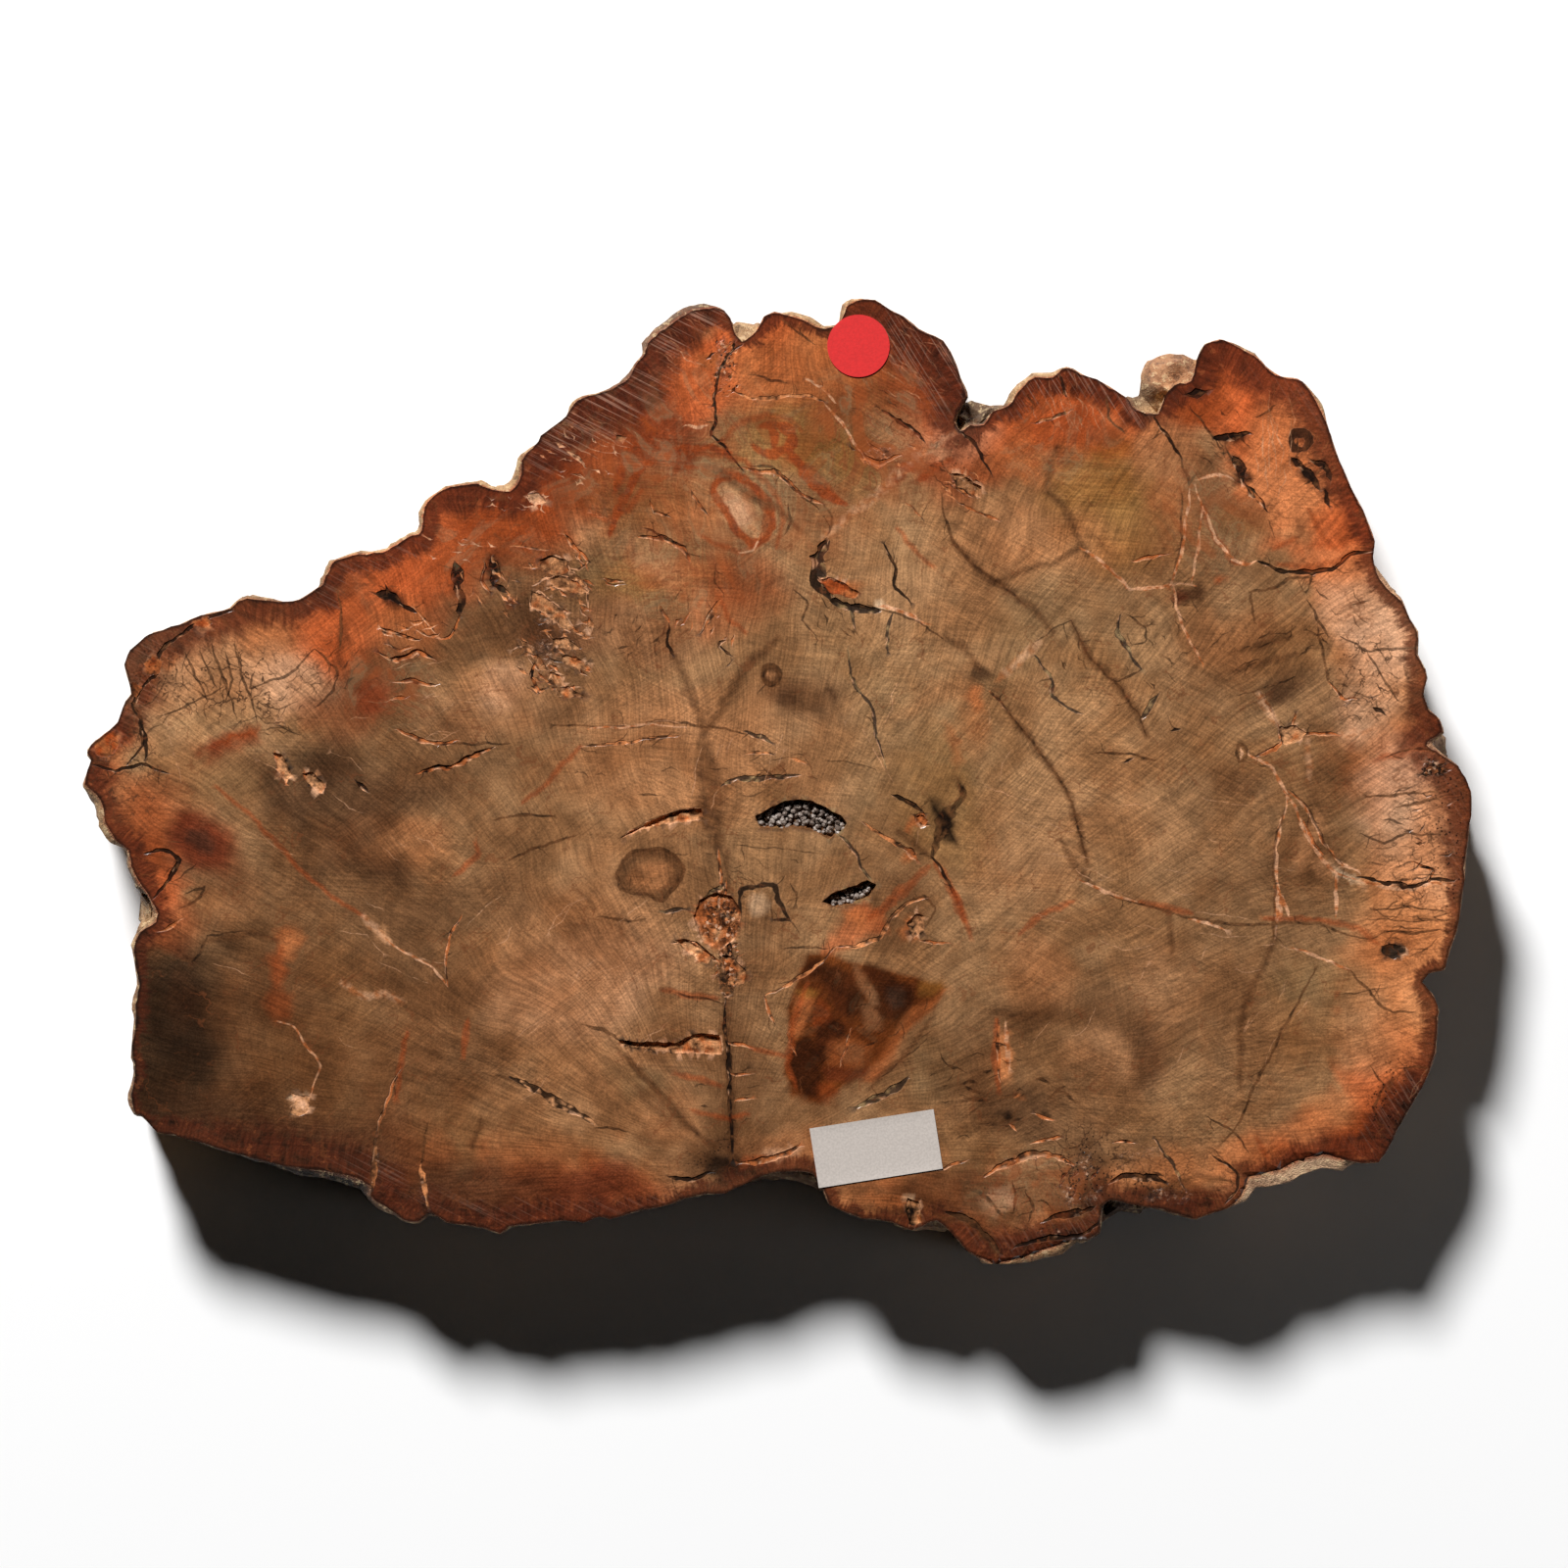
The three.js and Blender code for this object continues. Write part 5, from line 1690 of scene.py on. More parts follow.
def slab_bmesh(seams, pits):
    """The whole slab: bark wall from the frame, a fine polished face and a plain underside."""
    slab = settings("slice_slab")
    bm = cad_copy("petrified_wood_slab")
    keep_wall(bm)
    bmesh.ops.subdivide_edges(bm, edges=bm.edges, cuts=slab.wall_cuts, use_grid_fill=True, smooth=0.35)
    bmesh.ops.triangulate(bm, faces=bm.faces)
    smooth_ledge(bm)
    rim = open_ring(bm, SLAB_HIGH[2])
    base_ring = open_ring(bm, SLAB_LOW[2])
    wear_wall(bm, rim)
    for face in bm.faces:
        face.material_index = 1
    edge = flat_mm(rim)
    low, high = edge.min(axis=0), edge.max(axis=0)
    rows = [row for feature in (*seams, *pits) for row in feature.rows()]
    spots = np.vstack(rows)
    kept = inside(spots, edge) & (nearest_gap(spots, edge) > EDGE_CLEAR)
    lines = list(zip(rows, np.split(kept, np.cumsum([len(row) for row in rows])[:-1])))
    taken = np.vstack([spots[kept], edge])
    grid = hex_grid(low, high, slab.face_grid / MM, 3)
    for number, (middle, halves) in enumerate(rows_of(FINE_PLACES)):
        oval_at = pair(middle), *pair(halves, "x")
        centre, half = np.array(place(oval_at[0])), np.array(oval_at[1:]) * PIXEL
        fine = hex_grid(centre - half, centre + half, slab.fine_grid / MM, 30 + number)
        grid = np.vstack([grid[oval(grid, *oval_at) >= 1], fine[oval(fine, *oval_at) < 1]])
    grid = clear_of(grid[inside(grid, edge)], taken, SEAM_CLEAR)
    floors = []
    for number, pit in enumerate(pits):
        ring = pit.rows()[1][:-1]
        fine = hex_grid(ring.min(axis=0), ring.max(axis=0), slab.pit_grid / MM, 50 + number)
        fine = fine[inside(fine, ring)]
        floors.append(fine[line_distance(fine, ring, closed=True)[0] > RIM_CLEAR] if len(fine) else fine)
        grid = grid[~inside(grid, pit.ring)]
    face = fill_sheet(bm, rim, lines, np.vstack([grid, *floors]), SLAB_HIGH[2], 0)
    outline = flat_mm(base_ring)
    coarse = hex_grid(outline.min(axis=0), outline.max(axis=0), slab.base_grid / MM, 4)
    coarse = clear_of(coarse[inside(coarse, outline)], outline, 0.8)
    base = fill_sheet(bm, base_ring, [], coarse, SLAB_LOW[2], 2)
    bmesh.ops.recalc_face_normals(bm, faces=bm.faces)
    return bm, face, base


def mix_patches(points, tone, text, inner, outer):
    """Blends the patches of a table into the colours of points."""
    for colour, middle, halves, strength, *turn in rows_of(text):
        reach = oval(points, pair(middle), *pair(halves, "x"), *turn)
        share = float(strength) * (1 - soft_step(inner, outer, reach))
        tone += (palette(colour) - tone) * share[:, None]


def mix_zones(points, tone):
    """Blends the outlined patches into the colours of points."""
    for colour, strength, soft, *corners in rows_of(ZONES):
        ring = np.array([place(pair(corner)) for corner in corners])
        soft = float(soft) * PIXEL
        near = in_box(points, ring.min(axis=0) - soft, ring.max(axis=0) + soft)
        gap = line_distance(points[near], ring, closed=True)[0] * np.where(inside(points[near], ring), -1, 1)
        share = float(strength) * (1 - soft_step(-soft, soft, gap))
        tone[near] += (palette(colour) - tone[near]) * share[:, None]


def tone_at(points, rim_gap, rim_share, stations):
    """The stone's colour at places in mm, before its seams."""
    warp = np.column_stack([drift(points, 9, 11) * 2.2 + drift(points, 3, 12) + drift(points, 1.3, 21) * 0.5,
                            drift(points, 9, 13) * 2.2 + drift(points, 3, 14) + drift(points, 1.3, 22) * 0.5])
    tone = np.tile(palette("taupe"), (len(points), 1))
    glow_width = np.interp(rim_share, stations["share"], stations["glow"], period=1) * PIXEL
    strength = np.interp(rim_share, stations["share"], stations["strength"], period=1)
    glow = np.column_stack(
        [np.interp(rim_share, stations["share"], channel, period=1) for channel in stations["colour"].T])
    uneven = 1 + 0.4 * drift(points, 5, 15) + 0.25 * drift(points, 1.8, 16)
    share = strength * (1 - soft_step(0.5, 1.2, rim_gap / (glow_width * uneven)))
    tone += (glow - tone) * share[:, None]
    mix_patches(points + warp, tone, BROAD_TONES, 0.45, 1.25)
    mix_zones(points + warp * 0.3, tone)
    fine = np.column_stack([drift(points, 2.2, 17) + drift(points, 1, 19) * 0.5,
                            drift(points, 2.2, 18) + drift(points, 1, 20) * 0.5]) * 0.5
    mix_patches(points + fine, tone, SMALL_TONES, 0.72, 1.15)
    return tone


def gathered(points, text):
    """How strongly a fine pattern shows at each point."""
    amount = np.zeros(len(points))
    for middle, halves, strength in rows_of(text):
        reach = oval(points, pair(middle), *pair(halves, "x"))
        amount = np.maximum(amount, float(strength) * (1 - soft_step(0.5, 1.2, reach)))
    return amount


def rim_measures(points, edge):
    """Distance from the polished edge, and the place along it, from 0 to 1."""
    closed = np.vstack([edge, edge[:1]])
    length = lengths_along(closed)[-1]
    places = np.arange(0, length, 0.25)
    tree = point_tree(points_at(closed, places))
    found = [tree.find((x, y, 0)) for x, y in points]
    return np.array([item[2] for item in found]), places[[item[1] for item in found]] / length


def station_table(edge):
    """The rim stations in order along the edge."""
    rows = rows_of(RIM_STATIONS)
    _, share = rim_measures(np.array([place(pair(row[0])) for row in rows]), edge)
    order = np.argsort(share)
    table = {name: np.array([float(rows[i][column]) for i in order])
             for column, name in enumerate(("dark", "glow", "strength"), start=1)}
    return {**table, "share": share[order], "colour": np.array([palette(rows[i][4]) for i in order])}


def colour_seams(points, seams, tone, dull, depth, mark):
    """Draws the seams over the colours of points, and sets where they are dull, sunk and marked."""
    for number, seam in enumerate(seams):
        near, gap, half, side = seam.cover(points)
        if not len(near):
            continue
        kind, spots = seam.kind, points[near]
        share = kind.strength * (1 - np.clip((gap - half) / kind.soft, 0, 1))
        fleck = soft_step(0.9 - 2 * kind.flecks, 1.1 - 2 * kind.flecks, drift(spots, 0.55, 90 + number % 17))
        colour = palette(kind.main) + (palette(kind.fleck) - palette(kind.main)) * fleck[:, None]
        tone[near] += (colour - tone[near]) * share[:, None]
        mark[near] = np.maximum(mark[near], share)
        # Painted highlight: the side that faces the light glints here and there
        if kind.glint:
            lit = (gap > 0.55 * half) & (gap < half + 0.5 * kind.soft) & (side < 0)
            lit &= drift(spots, 0.7, 200 + number % 13) > 1 - 2 * kind.glint
            tone[near[lit]] += (palette("blush") - tone[near[lit]]) * 0.8
        dull[near] = np.maximum(dull[near], kind.dull * share)
        # A narrow seam is less deep
        sunk = kind.depth * np.minimum(1, half / 0.35) * np.clip((half + kind.soft - gap) / kind.soft, 0, 1)
        depth[near] = np.maximum(depth[near], sunk)


def colour_pits(points, pits, tone, dull, depth, mark):
    """Colours the floors of the hollows, paints shadow on part of each rim and a highlight on another part,
    and sets how deep they are.
    """
    for number, pit in enumerate(pits):
        near, gap = pit.cover(points)
        if not len(near):
            continue
        *names, painted_rim_highlight = PIT_KINDS[pit.kind]
        main, fleck, shade = (palette(name) for name in names)
        spots = points[near]
        rough = drift(spots, 1.2, 120 + number % 19) + 0.35 * drift(spots, 0.45, 150 + number % 7)
        colour = main + (fleck - main) * soft_step(0.1, 0.6, rough)[:, None]
        rim = 1 - soft_step(0.0, 0.25, gap)
        turned = drift(spots, 1.7, 180 + number % 7)
        # Painted shadow along part of the rim, with dark patches and cracks across the floor
        shaded = 0.75 * rim * soft_step(-0.1, 0.2, turned) + 0.7 * soft_step(0.35, 0.8, -rough)
        shaded += 0.7 * soft_step(0.7, 0.95, 1 - 2 * np.abs(drift(spots, 1.4, 160 + number % 11)))
        colour += (shade - colour) * np.clip(shaded, 0, 1)[:, None]
        # Painted highlight along another part of the rim
        colour += (palette("blush") - colour) * (painted_rim_highlight * rim * soft_step(0.05, 0.2, -turned))[:, None]
        tone[near] = colour
        mark[near] = 1
        dull[near] = 1
        floor = np.clip(gap / 0.22, 0, 1)
        uneven = 0 if pit.kind == "vug" else 0.45 * drift(spots, 0.9, 140 + number % 23)
        depth[near] = pit.depth * floor * (1 + uneven)


def dress_slab(bm, face, base, seams, pits, mesh):
    """Sinks the seams and hollows, and stores the stone's colours and fine patterns on the mesh."""
    bm.verts.index_update()
    spots = np.array([v.co[:] for v in bm.verts]) / MM
    count = len(spots)
    edges = [e for e in bm.edges if {f.material_index for f in e.link_faces} == {0, 1}]
    rim = flat_mm(ring_of(edges))
    perimeter = np.hypot(*np.diff(np.vstack([rim, rim[:1]]), axis=0).T).sum()
    stations = station_table(rim)
    tone = np.tile(palette("bark"), (count, 1))
    mix_patches(spots[:, :2], tone, BARK_TONES, 0.7, 1.2)
    values = {name: np.zeros(count) for name in STORED}
    depth = np.zeros(count)
    for faces in (face, base):
        chosen = np.unique([v.index for f in faces for v in f.verts])
        points = spots[chosen][:, :2]
        gap, share = rim_measures(points, rim)
        colours = tone_at(points, gap, share, stations)
        sunk, mark, dull = np.zeros((3, len(points)))
        if faces is face:
            colour_seams(points, seams, colours, dull, sunk, mark)
            colour_pits(points, pits, colours, dull, sunk, mark)
            sunk[gap < 0.3] = 0
        tone[chosen] = colours
        depth[chosen] = sunk
        band = np.interp(share, stations["share"], stations["dark"], period=1) * PIXEL
        fine = [gathered(points, table) for table in (SPECKLES, CRAZING, STREAKS, AGATE)]
        found = (gap, share * perimeter, band, gathered(points, RUBBLE), dull, mark, *fine)
        for name, amounts in zip(STORED, found):
            values[name][chosen] = amounts
    for v, sink in zip(bm.verts, depth):
        v.co.z -= sink * MM
    for f in bm.faces:
        f.smooth = False
    bm.to_mesh(mesh)
    # The corner normals that came with the frame don't fit the finer wall
    if mesh.has_custom_normals:
        mesh.attributes.remove(mesh.attributes["custom_normal"])
    colour = mesh.attributes.new("tone", "FLOAT_COLOR", "POINT")
    colour.data.foreach_set("color", np.column_stack([tone, np.ones(count)]).ravel())
    for name, amounts in values.items():
        mesh.attributes.new(name, "FLOAT", "POINT").data.foreach_set("value", amounts)


# Materials

SMOOTH = {"interpolation_type": "SMOOTHSTEP"}
# Noise runs from 0 to 1 but lies mostly between these two levels
NOISE_LOW, NOISE_HIGH = 0.28, 0.72
# Marks of the polishing wheel: turn in degrees, and how fine the patches are that they show in
WHEEL_LINES = ((38, 0.05), (-27, 0.063), (-4, 0.08))


def paint(name):
    """Red, green, blue and alpha of a colour, by its name in the palette or its hex value."""
    return (*(palette(name) if hasattr(settings("slice_palette"), name) else linear(name)), 1)


class Nodes:
    """A material's node tree, with one call that adds a node, its settings and its links."""

    def __init__(self, name):
        self.material = bpy.data.materials.new(name)
        self.material.use_nodes = True
        self.tree = self.material.node_tree
        self.tree.nodes.clear()

    def add(self, kind, *inputs, named=(), output=None, **options):
        """Adds a node and gives one of its outputs: the first in use, or the one that is named.

        A kind may have its operation after it. Inputs fill the sockets in use, in order, or those of their
        name: a number, a vector, another node's output, or a colour by its palette name or its hex value.
        """
        kind, *operation = kind.split()
        node = self.tree.nodes.new("ShaderNode" + kind)
        if operation:
            node.operation, = operation
        for key, value in options.items():
            setattr(node, key, value)
        filled = list(zip((socket for socket in node.inputs if socket.enabled), inputs))
        filled += [(node.inputs[key], value) for key, value in dict(named).items()]
        for socket, value in filled:
            if isinstance(value, bpy.types.NodeSocket):
                self.tree.links.new(value, socket)
            else:
                socket.default_value = paint(value) if isinstance(value, str) else value
        if output:
            return node.outputs[output]
        return next((socket for socket in node.outputs if socket.enabled), None)

    def millimetres(self, origin=(0, 0)):
        """The place on the object in millimetres from an origin on the face."""
        where = self.add("TexCoord", output="Object")
        return self.add("Mapping", where, (-origin[0], -origin[1], 0), (0, 0, 0), (1 / MM, 1 / MM, 1 / MM))

    def patchy(self, where, size, low, high, full=1):
        """Soft patches of a noise: 0 below one of its levels, and full above another."""
        return self.add("MapRange", self.add("TexNoise", where, size), low, high, 0, full, **SMOOTH)

    def lines(self, mm, turn):
        """Fine parallel lines in one direction, about 0.4 mm apart and 20 mm long."""
        angle = (0, 0, math.radians(turn))
        turned = self.add("Mapping", mm, (0, 0, 0), angle, (20, 0.36, 1), vector_type="TEXTURE")
        return self.add("TexNoise", turned, 1, 2, 0.7)

    def centred(self, value, amount):
        """A pattern from 0 to 1 as a shift around 0."""
        return self.add("Math MULTIPLY", self.add("Math SUBTRACT", value, 0.5), amount)

    def tint(self, colour, over, pattern, low, high, start=0, end=1):
        """Lays one colour over another, from start to end in strength as a pattern passes two levels."""
        strength = self.add("MapRange", pattern, low, high, start, end, **SMOOTH)
        return self.add("Mix", strength, colour, over, data_type="RGBA")

    def shade(self, colour, pattern, dark, light, amount=1):
        """Darkens and lightens a colour by a pattern."""
        level = self.add("MapRange", pattern, NOISE_LOW, NOISE_HIGH, dark, light, **SMOOTH)
        change = self.add("Math SUBTRACT", level, 1)
        level = self.add("Math MULTIPLY_ADD", change, amount, 1)
        return self.add("VectorMath MULTIPLY", colour, level)

    def finish(self, colour, roughness, height=None, size=0.2, strength=0.6, ior=1.54, gloss=0.5):
        """Ends the tree in its shader and gives the material. The size of the bump is in mm."""
        keys = {"Base Color": colour, "Roughness": roughness, "IOR": ior, "Specular IOR Level": gloss}
        if height is not None:
            bump = {"Height": height, "Strength": strength, "Distance": size * MM}
            keys["Normal"] = self.add("Bump", named=bump)
        self.add("OutputMaterial", self.add("BsdfPrincipled", named=keys))
        return self.material


def stone_patterns(n, names):
    """The grain of the stone: rays from the pith, growth rings, lumps and hue, over the stored tone."""
    stored = {name: n.add("Attribute", attribute_name=name, output="Fac") for name in names}
    mm = n.millimetres(place(PITH))
    x, y = n.add("SeparateXYZ", mm).node.outputs[:2]
    radius = n.add("VectorMath LENGTH", mm)
    angle = n.add("Math", y, x, operation="ARCTAN2")
    wobble = n.add("TexNoise", mm, 0.05, 1)
    # Two sets of rays keep them about 0.4 mm apart near the pith and near the rim; rings are about 1 mm apart
    wander = n.add("Math MULTIPLY", wobble, 20)
    outward = n.add("Math MULTIPLY", radius, 0.12)
    ray_sets = []
    for count in (90, 220):
        around = n.add("Math MULTIPLY_ADD", angle, count, wander)
        ray_sets.append(n.add("TexNoise", n.add("CombineXYZ", around, outward), 1, 2, 0.7))
    rays = n.add("Mix", n.add("MapRange", radius, 45, 85, **SMOOTH), *ray_sets)
    across_rings = n.add("Math ADD", radius, n.add("Math MULTIPLY", wobble, 26))
    along_rings = n.add("Math MULTIPLY", angle, 6)
    rings = n.add("TexNoise", n.add("CombineXYZ", across_rings, along_rings), 1.6, 2, 0.5)
    lumps = n.add("TexNoise", mm, 0.35, 5, 0.66)
    clouds = n.add("TexNoise", mm, 0.09, 3, 0.55)
    grain = n.add("TexNoise", mm, 3, 3, 0.7)
    tone = n.add("Attribute", attribute_name="tone")
    hue = n.tint("fbe6d2", "f0e7dd", clouds, 0.38, 0.62)
    colour = n.add("Mix", 1, tone, hue, data_type="RGBA", blend_type="MULTIPLY")
    colour = n.shade(colour, lumps, 0.77, 1.24)
    colour = n.shade(colour, clouds, 0.73, 1.27)
    # Rays show most beside the saw's streaks and least in agate
    clear = n.add("Math MULTIPLY", n.add("MapRange", stored["streaks"], 0, 1, 0.72, 1, **SMOOTH),
                  n.add("MapRange", stored["agate"], 0, 1, 1, 0.3, **SMOOTH))
    colour = n.shade(colour, rays, 0.64, 1.34, clear)
    colour = n.shade(colour, rings, 0.89, 1.11)
    colour = n.shade(colour, grain, 0.76, 1.27)
    return mm, stored, lumps, grain, colour


def agate_swirls(n, mm, stored, lumps, colour):
    """Folded bands of rust and grey with thin dark red lines, where the wood turned to agate."""
    fold = n.add("TexNoise", mm, 0.075, 3, 0.5, 2, 2.8)
    swirl = n.tint(colour, "rust", fold, 0.36, 0.47, 0.75, 0)
    swirl = n.tint(swirl, "ash", fold, 0.52, 0.6, 0, 0.4)
    swirl = n.tint(swirl, "rust", fold, 0.62, 0.68, 0, 0.6)
    for level in (0.43, 0.5, 0.57):
        line = n.add("Math ABSOLUTE", n.add("Math SUBTRACT", fold, level))
        swirl = n.tint(swirl, "brick", line, 0.013, 0.004, 0, 0.65)
    smooth = n.add("MapRange", lumps, 0.3, 0.5, 0.6, 1, **SMOOTH)
    room = n.add("Math MULTIPLY", stored["agate"], smooth)
    return n.add("Mix", room, colour, swirl, data_type="RGBA")


def rim_band(n, mm, stored, lumps, colour):
    """The dark outer band: ragged fingers square to the edge, orange knots and pale hatching."""
    gap, band = stored["rim_gap"], stored["dark_band"]
    along = n.add("Math MULTIPLY", stored["rim_along"], 2.1)
    across = n.add("Math MULTIPLY", gap, 0.14)
    hatch = n.add("TexNoise", n.add("CombineXYZ", along, across), 1, 3, 0.6)
    ragged = n.add("Math ADD", n.centred(hatch, 3.4), n.centred(lumps, 5))
    inward = n.add("Math ADD", gap, ragged)
    start, end = (n.add("Math MULTIPLY", band, share) for share in (0.5, 1.3))
    dark = n.add("Math SUBTRACT", 1, n.add("MapRange", inward, start, end, **SMOOTH))
    unmarked = n.add("Math SUBTRACT", 1, stored["mark"])
    dark = n.add("Math MULTIPLY", dark, unmarked)
    knots = n.add("TexNoise", mm, 0.55, 3, 0.6)
    deep = n.tint("plum", "5e2d1c", knots, 0.38, 0.52)
    deep = n.tint(deep, "95502f", knots, 0.6, 0.7)
    deep = n.tint(deep, "char", knots, 0.37, 0.31, 0, 0.85)
    stained = n.add("Mix", 1, colour, "9c8278", data_type="RGBA", blend_type="MULTIPLY")
    deep = n.add("Mix", 0.5, deep, stained, data_type="RGBA")
    deep = n.shade(deep, hatch, 0.6, 1.3)
    colour = n.add("Mix", n.add("Math MULTIPLY", dark, 0.92), colour, deep, data_type="RGBA")
    # Saw lines lie one way on the left of the notch beside the dot and another on its right
    x = n.add("SeparateXYZ", mm)
    saw = n.add("Mix", n.add("MapRange", x, 18, 26, **SMOOTH), n.lines(mm, -27), n.lines(mm, -58))
    pale = n.add("Math MULTIPLY", n.add("MapRange", saw, 0.53, 0.64, **SMOOTH), stored["streaks"])
    pale = n.add("Math MULTIPLY", pale, n.add("Math MULTIPLY", dark, 0.3))
    colour = n.add("Mix", pale, colour, "c89c84", data_type="RGBA")
    # A thin black line where the polish ends
    uneven_gap = n.add("Math ADD", gap, n.centred(lumps, 0.8))
    skin = n.add("Math SUBTRACT", 1, n.add("MapRange", uneven_gap, 0.15, 0.6, **SMOOTH))
    return n.add("Mix", n.add("Math MULTIPLY", skin, 0.7), colour, "char", data_type="RGBA")


def fine_marks(n, mm, stored, colour):
    """Specks, crazing, brown veinlets and the wheel's scratches."""
    # Specks of black manganese about 0.3 mm across
    specks = n.add("MapRange", n.add("TexVoronoi", mm, 1.7), 0.36, 0.2, **SMOOTH)
    specks = n.add("Math MULTIPLY", specks, n.patchy(mm, 0.9, 0.42, 0.56))
    specks = n.add("Math MULTIPLY", specks, stored["speckle"])
    colour = n.add("Mix", specks, colour, "char", data_type="RGBA")
    # Crazing: hairline cracks around cells about 2.5 mm across
    bent = n.add("TexNoise", mm, 0.8, 3, output="Color")
    bent = n.add("VectorMath MULTIPLY", bent, (2.2, 2.2, 2.2))
    bent = n.add("VectorMath ADD", mm, bent)
    cells = n.add("TexVoronoi", bent, 0.4, feature="DISTANCE_TO_EDGE")
    broken = n.add("Math MULTIPLY", n.patchy(mm, 0.6, 0.42, 0.56), stored["crazing"])
    cracks = n.add("Math MULTIPLY", n.add("MapRange", cells, 0.055, 0.02, **SMOOTH), broken)
    colour = n.add("Mix", cracks, colour, "walnut", data_type="RGBA")
    # Faint brown veinlets along the folds of a slow noise
    fold = n.add("Math ABSOLUTE", n.centred(n.add("TexNoise", bent, 0.13, 2), 1))
    veinlets = n.add("MapRange", fold, 0.012, 0.002, **SMOOTH)
    veinlets = n.add("Math MULTIPLY", veinlets, n.patchy(mm, 0.2, 0.45, 0.62, 0.5))
    colour = n.add("Mix", veinlets, colour, "6a3a20", data_type="RGBA")
    # Fine lines left by the polishing wheel catch the light
    for turn, patches in WHEEL_LINES:
        colour = n.shade(colour, n.lines(mm, turn), 0.83, 1.2, n.patchy(mm, patches, 0.44, 0.6))
    return colour


def rubble_patches(n, mm, stored, lumps, colour):
    """Loose grains where the stone is open: black gaps, tan grains and pale chips about 0.5 mm across.

    Gives how open the stone is, the height of its grains, and its colour.
    """
    amount = n.add("Math ADD", stored["rubble"], n.centred(lumps, 0.9))
    mask = n.add("MapRange", amount, 0.42, 0.75, **SMOOTH)
    grain = n.add("SeparateColor", n.add("TexVoronoi", mm, 2.2, output="Color"))
    broken = n.tint(colour, "char", grain, 0.36, 0.2, 0, 0.7)
    broken = n.tint(broken, "copper", grain, 0.6, 0.75, 0, 0.5)
    broken = n.tint(broken, "blush", grain, 0.86, 0.92, 0, 0.75)
    broken = n.tint(broken, "char", n.add("TexNoise", mm, 0.9, 4, 0.7), 0.46, 0.62, 0, 0.8)
    height = n.add("Math MULTIPLY", grain, mask)
    return mask, height, n.add("Mix", mask, colour, broken, data_type="RGBA")


def polished_material():
    """Petrified wood, a hard agate-like stone: it takes a glassy polish, and stays dull where it is open."""
    n = Nodes("polished_petrified_wood")
    mm, stored, lumps, grain, colour = stone_patterns(n, STORED)
    colour = agate_swirls(n, mm, stored, lumps, colour)
    colour = rim_band(n, mm, stored, lumps, colour)
    colour = fine_marks(n, mm, stored, colour)
    open_here, height, colour = rubble_patches(n, mm, stored, lumps, colour)
    shine = n.add("MapRange", grain, 0.2, 0.8, 0.2, 0.3, **SMOOTH)
    open_here = n.add("Math MAXIMUM", open_here, stored["dull"])
    gloss = n.add("MapRange", open_here, 0, 1, 0.5, 0.04, **SMOOTH)
    roughness = n.add("Math MULTIPLY_ADD", open_here, 0.45, shine, use_clamp=True)
    return n.finish(colour, roughness, height, 0.25, gloss=gloss)


def sawn_material():
    """The same stone as the saw leaves it: flat and dull under pale dust, with faint blade marks."""
    n = Nodes("sawn_petrified_wood")
    mm, _, lumps, grain, colour = stone_patterns(n, ("streaks", "agate"))
    colour = n.tint(colour, "dust", lumps, 0.3, 0.7, 0.3, 0.6)
    # Blade marks 1.6 mm apart
    saw = n.add("TexWave", mm, 0.2, 2, 2, output="Fac", bands_direction="DIAGONAL")
    return n.finish(colour, n.add("MapRange", grain, 0.2, 0.8, 0.6, 0.8, **SMOOTH), saw, 0.08)


def bark_material():
    """Silicified bark, broken and weathered: dull and chalky, darker brown where its fine relief is low."""
    n = Nodes("weathered_bark_wall")
    mm = n.millimetres()
    tall, upright = (n.add("Mapping", mm, (0, 0, 0), (0, 0, 0), (1, 1, height)) for height in (0.22, 0.4))
    colour = n.shade(n.add("Attribute", attribute_name="tone"), n.add("TexNoise", mm, 0.15, 3), 0.8, 1.25)
    colour = n.tint(colour, "7a4a2c", n.add("TexNoise", tall, 0.5, 4), 0.5, 0.66, 0, 0.55)
    crumbs = n.add("TexNoise", upright, 0.9, 5, 0.62)
    colour = n.tint(colour, "4a3220", crumbs, 0.46, 0.36, 0, 0.55)
    colour = n.tint(colour, "dcbf92", crumbs, 0.53, 0.64, 0, 0.5)
    colour = n.tint(colour, "3c2a1c", n.add("TexNoise", mm, 2.6, 4), 0.56, 0.68, 0, 0.3)
    height = n.add("Math MULTIPLY", crumbs, 1.6)
    height = n.add("Math ADD", height, n.add("TexNoise", mm, 4.5, 4))
    roughness = n.add("MapRange", n.add("TexNoise", mm, 2), 0.3, 0.7, 0.7, 0.95, **SMOOTH)
    return n.finish(colour, roughness, height, 0.4, 0.8)


def quartz_material():
    """Drusy quartz: a crust of small grey crystals, smoky in patches, whose faces glint softly."""
    n = Nodes("drusy_quartz")
    crust = settings("slice_crust")
    smoky, clear = (*crust.smoky[:], 1), (*crust.quartz[:], 1)
    colour = n.tint(smoky, clear, n.add("TexNoise", n.millimetres(), 0.9, 3), 0.4, 0.62)
    return n.finish(colour, 0.5)


def paper_material(name, colour, roughness):
    """Thin coated paper: matte, with a faint uneven fibre tone."""
    n = Nodes(name)
    fibre = n.add("TexNoise", n.millimetres(), MM / settings("slice_stickers").paper_grain, 4)
    shade = n.add("MapRange", fibre, 0.3, 0.7, 0.9, 1.06, **SMOOTH)
    shaded = n.add("VectorMath MULTIPLY", colour, shade)
    return n.finish(shaded, roughness, fibre, 0.03, 0.5, ior=1.45)


def table_material():
    """Smooth white photographic table: plain and matte."""
    n = Nodes("white_table")
    return n.finish((*settings("slice_stage").table[:], 1), 0.9, ior=1.45)


# Pieces


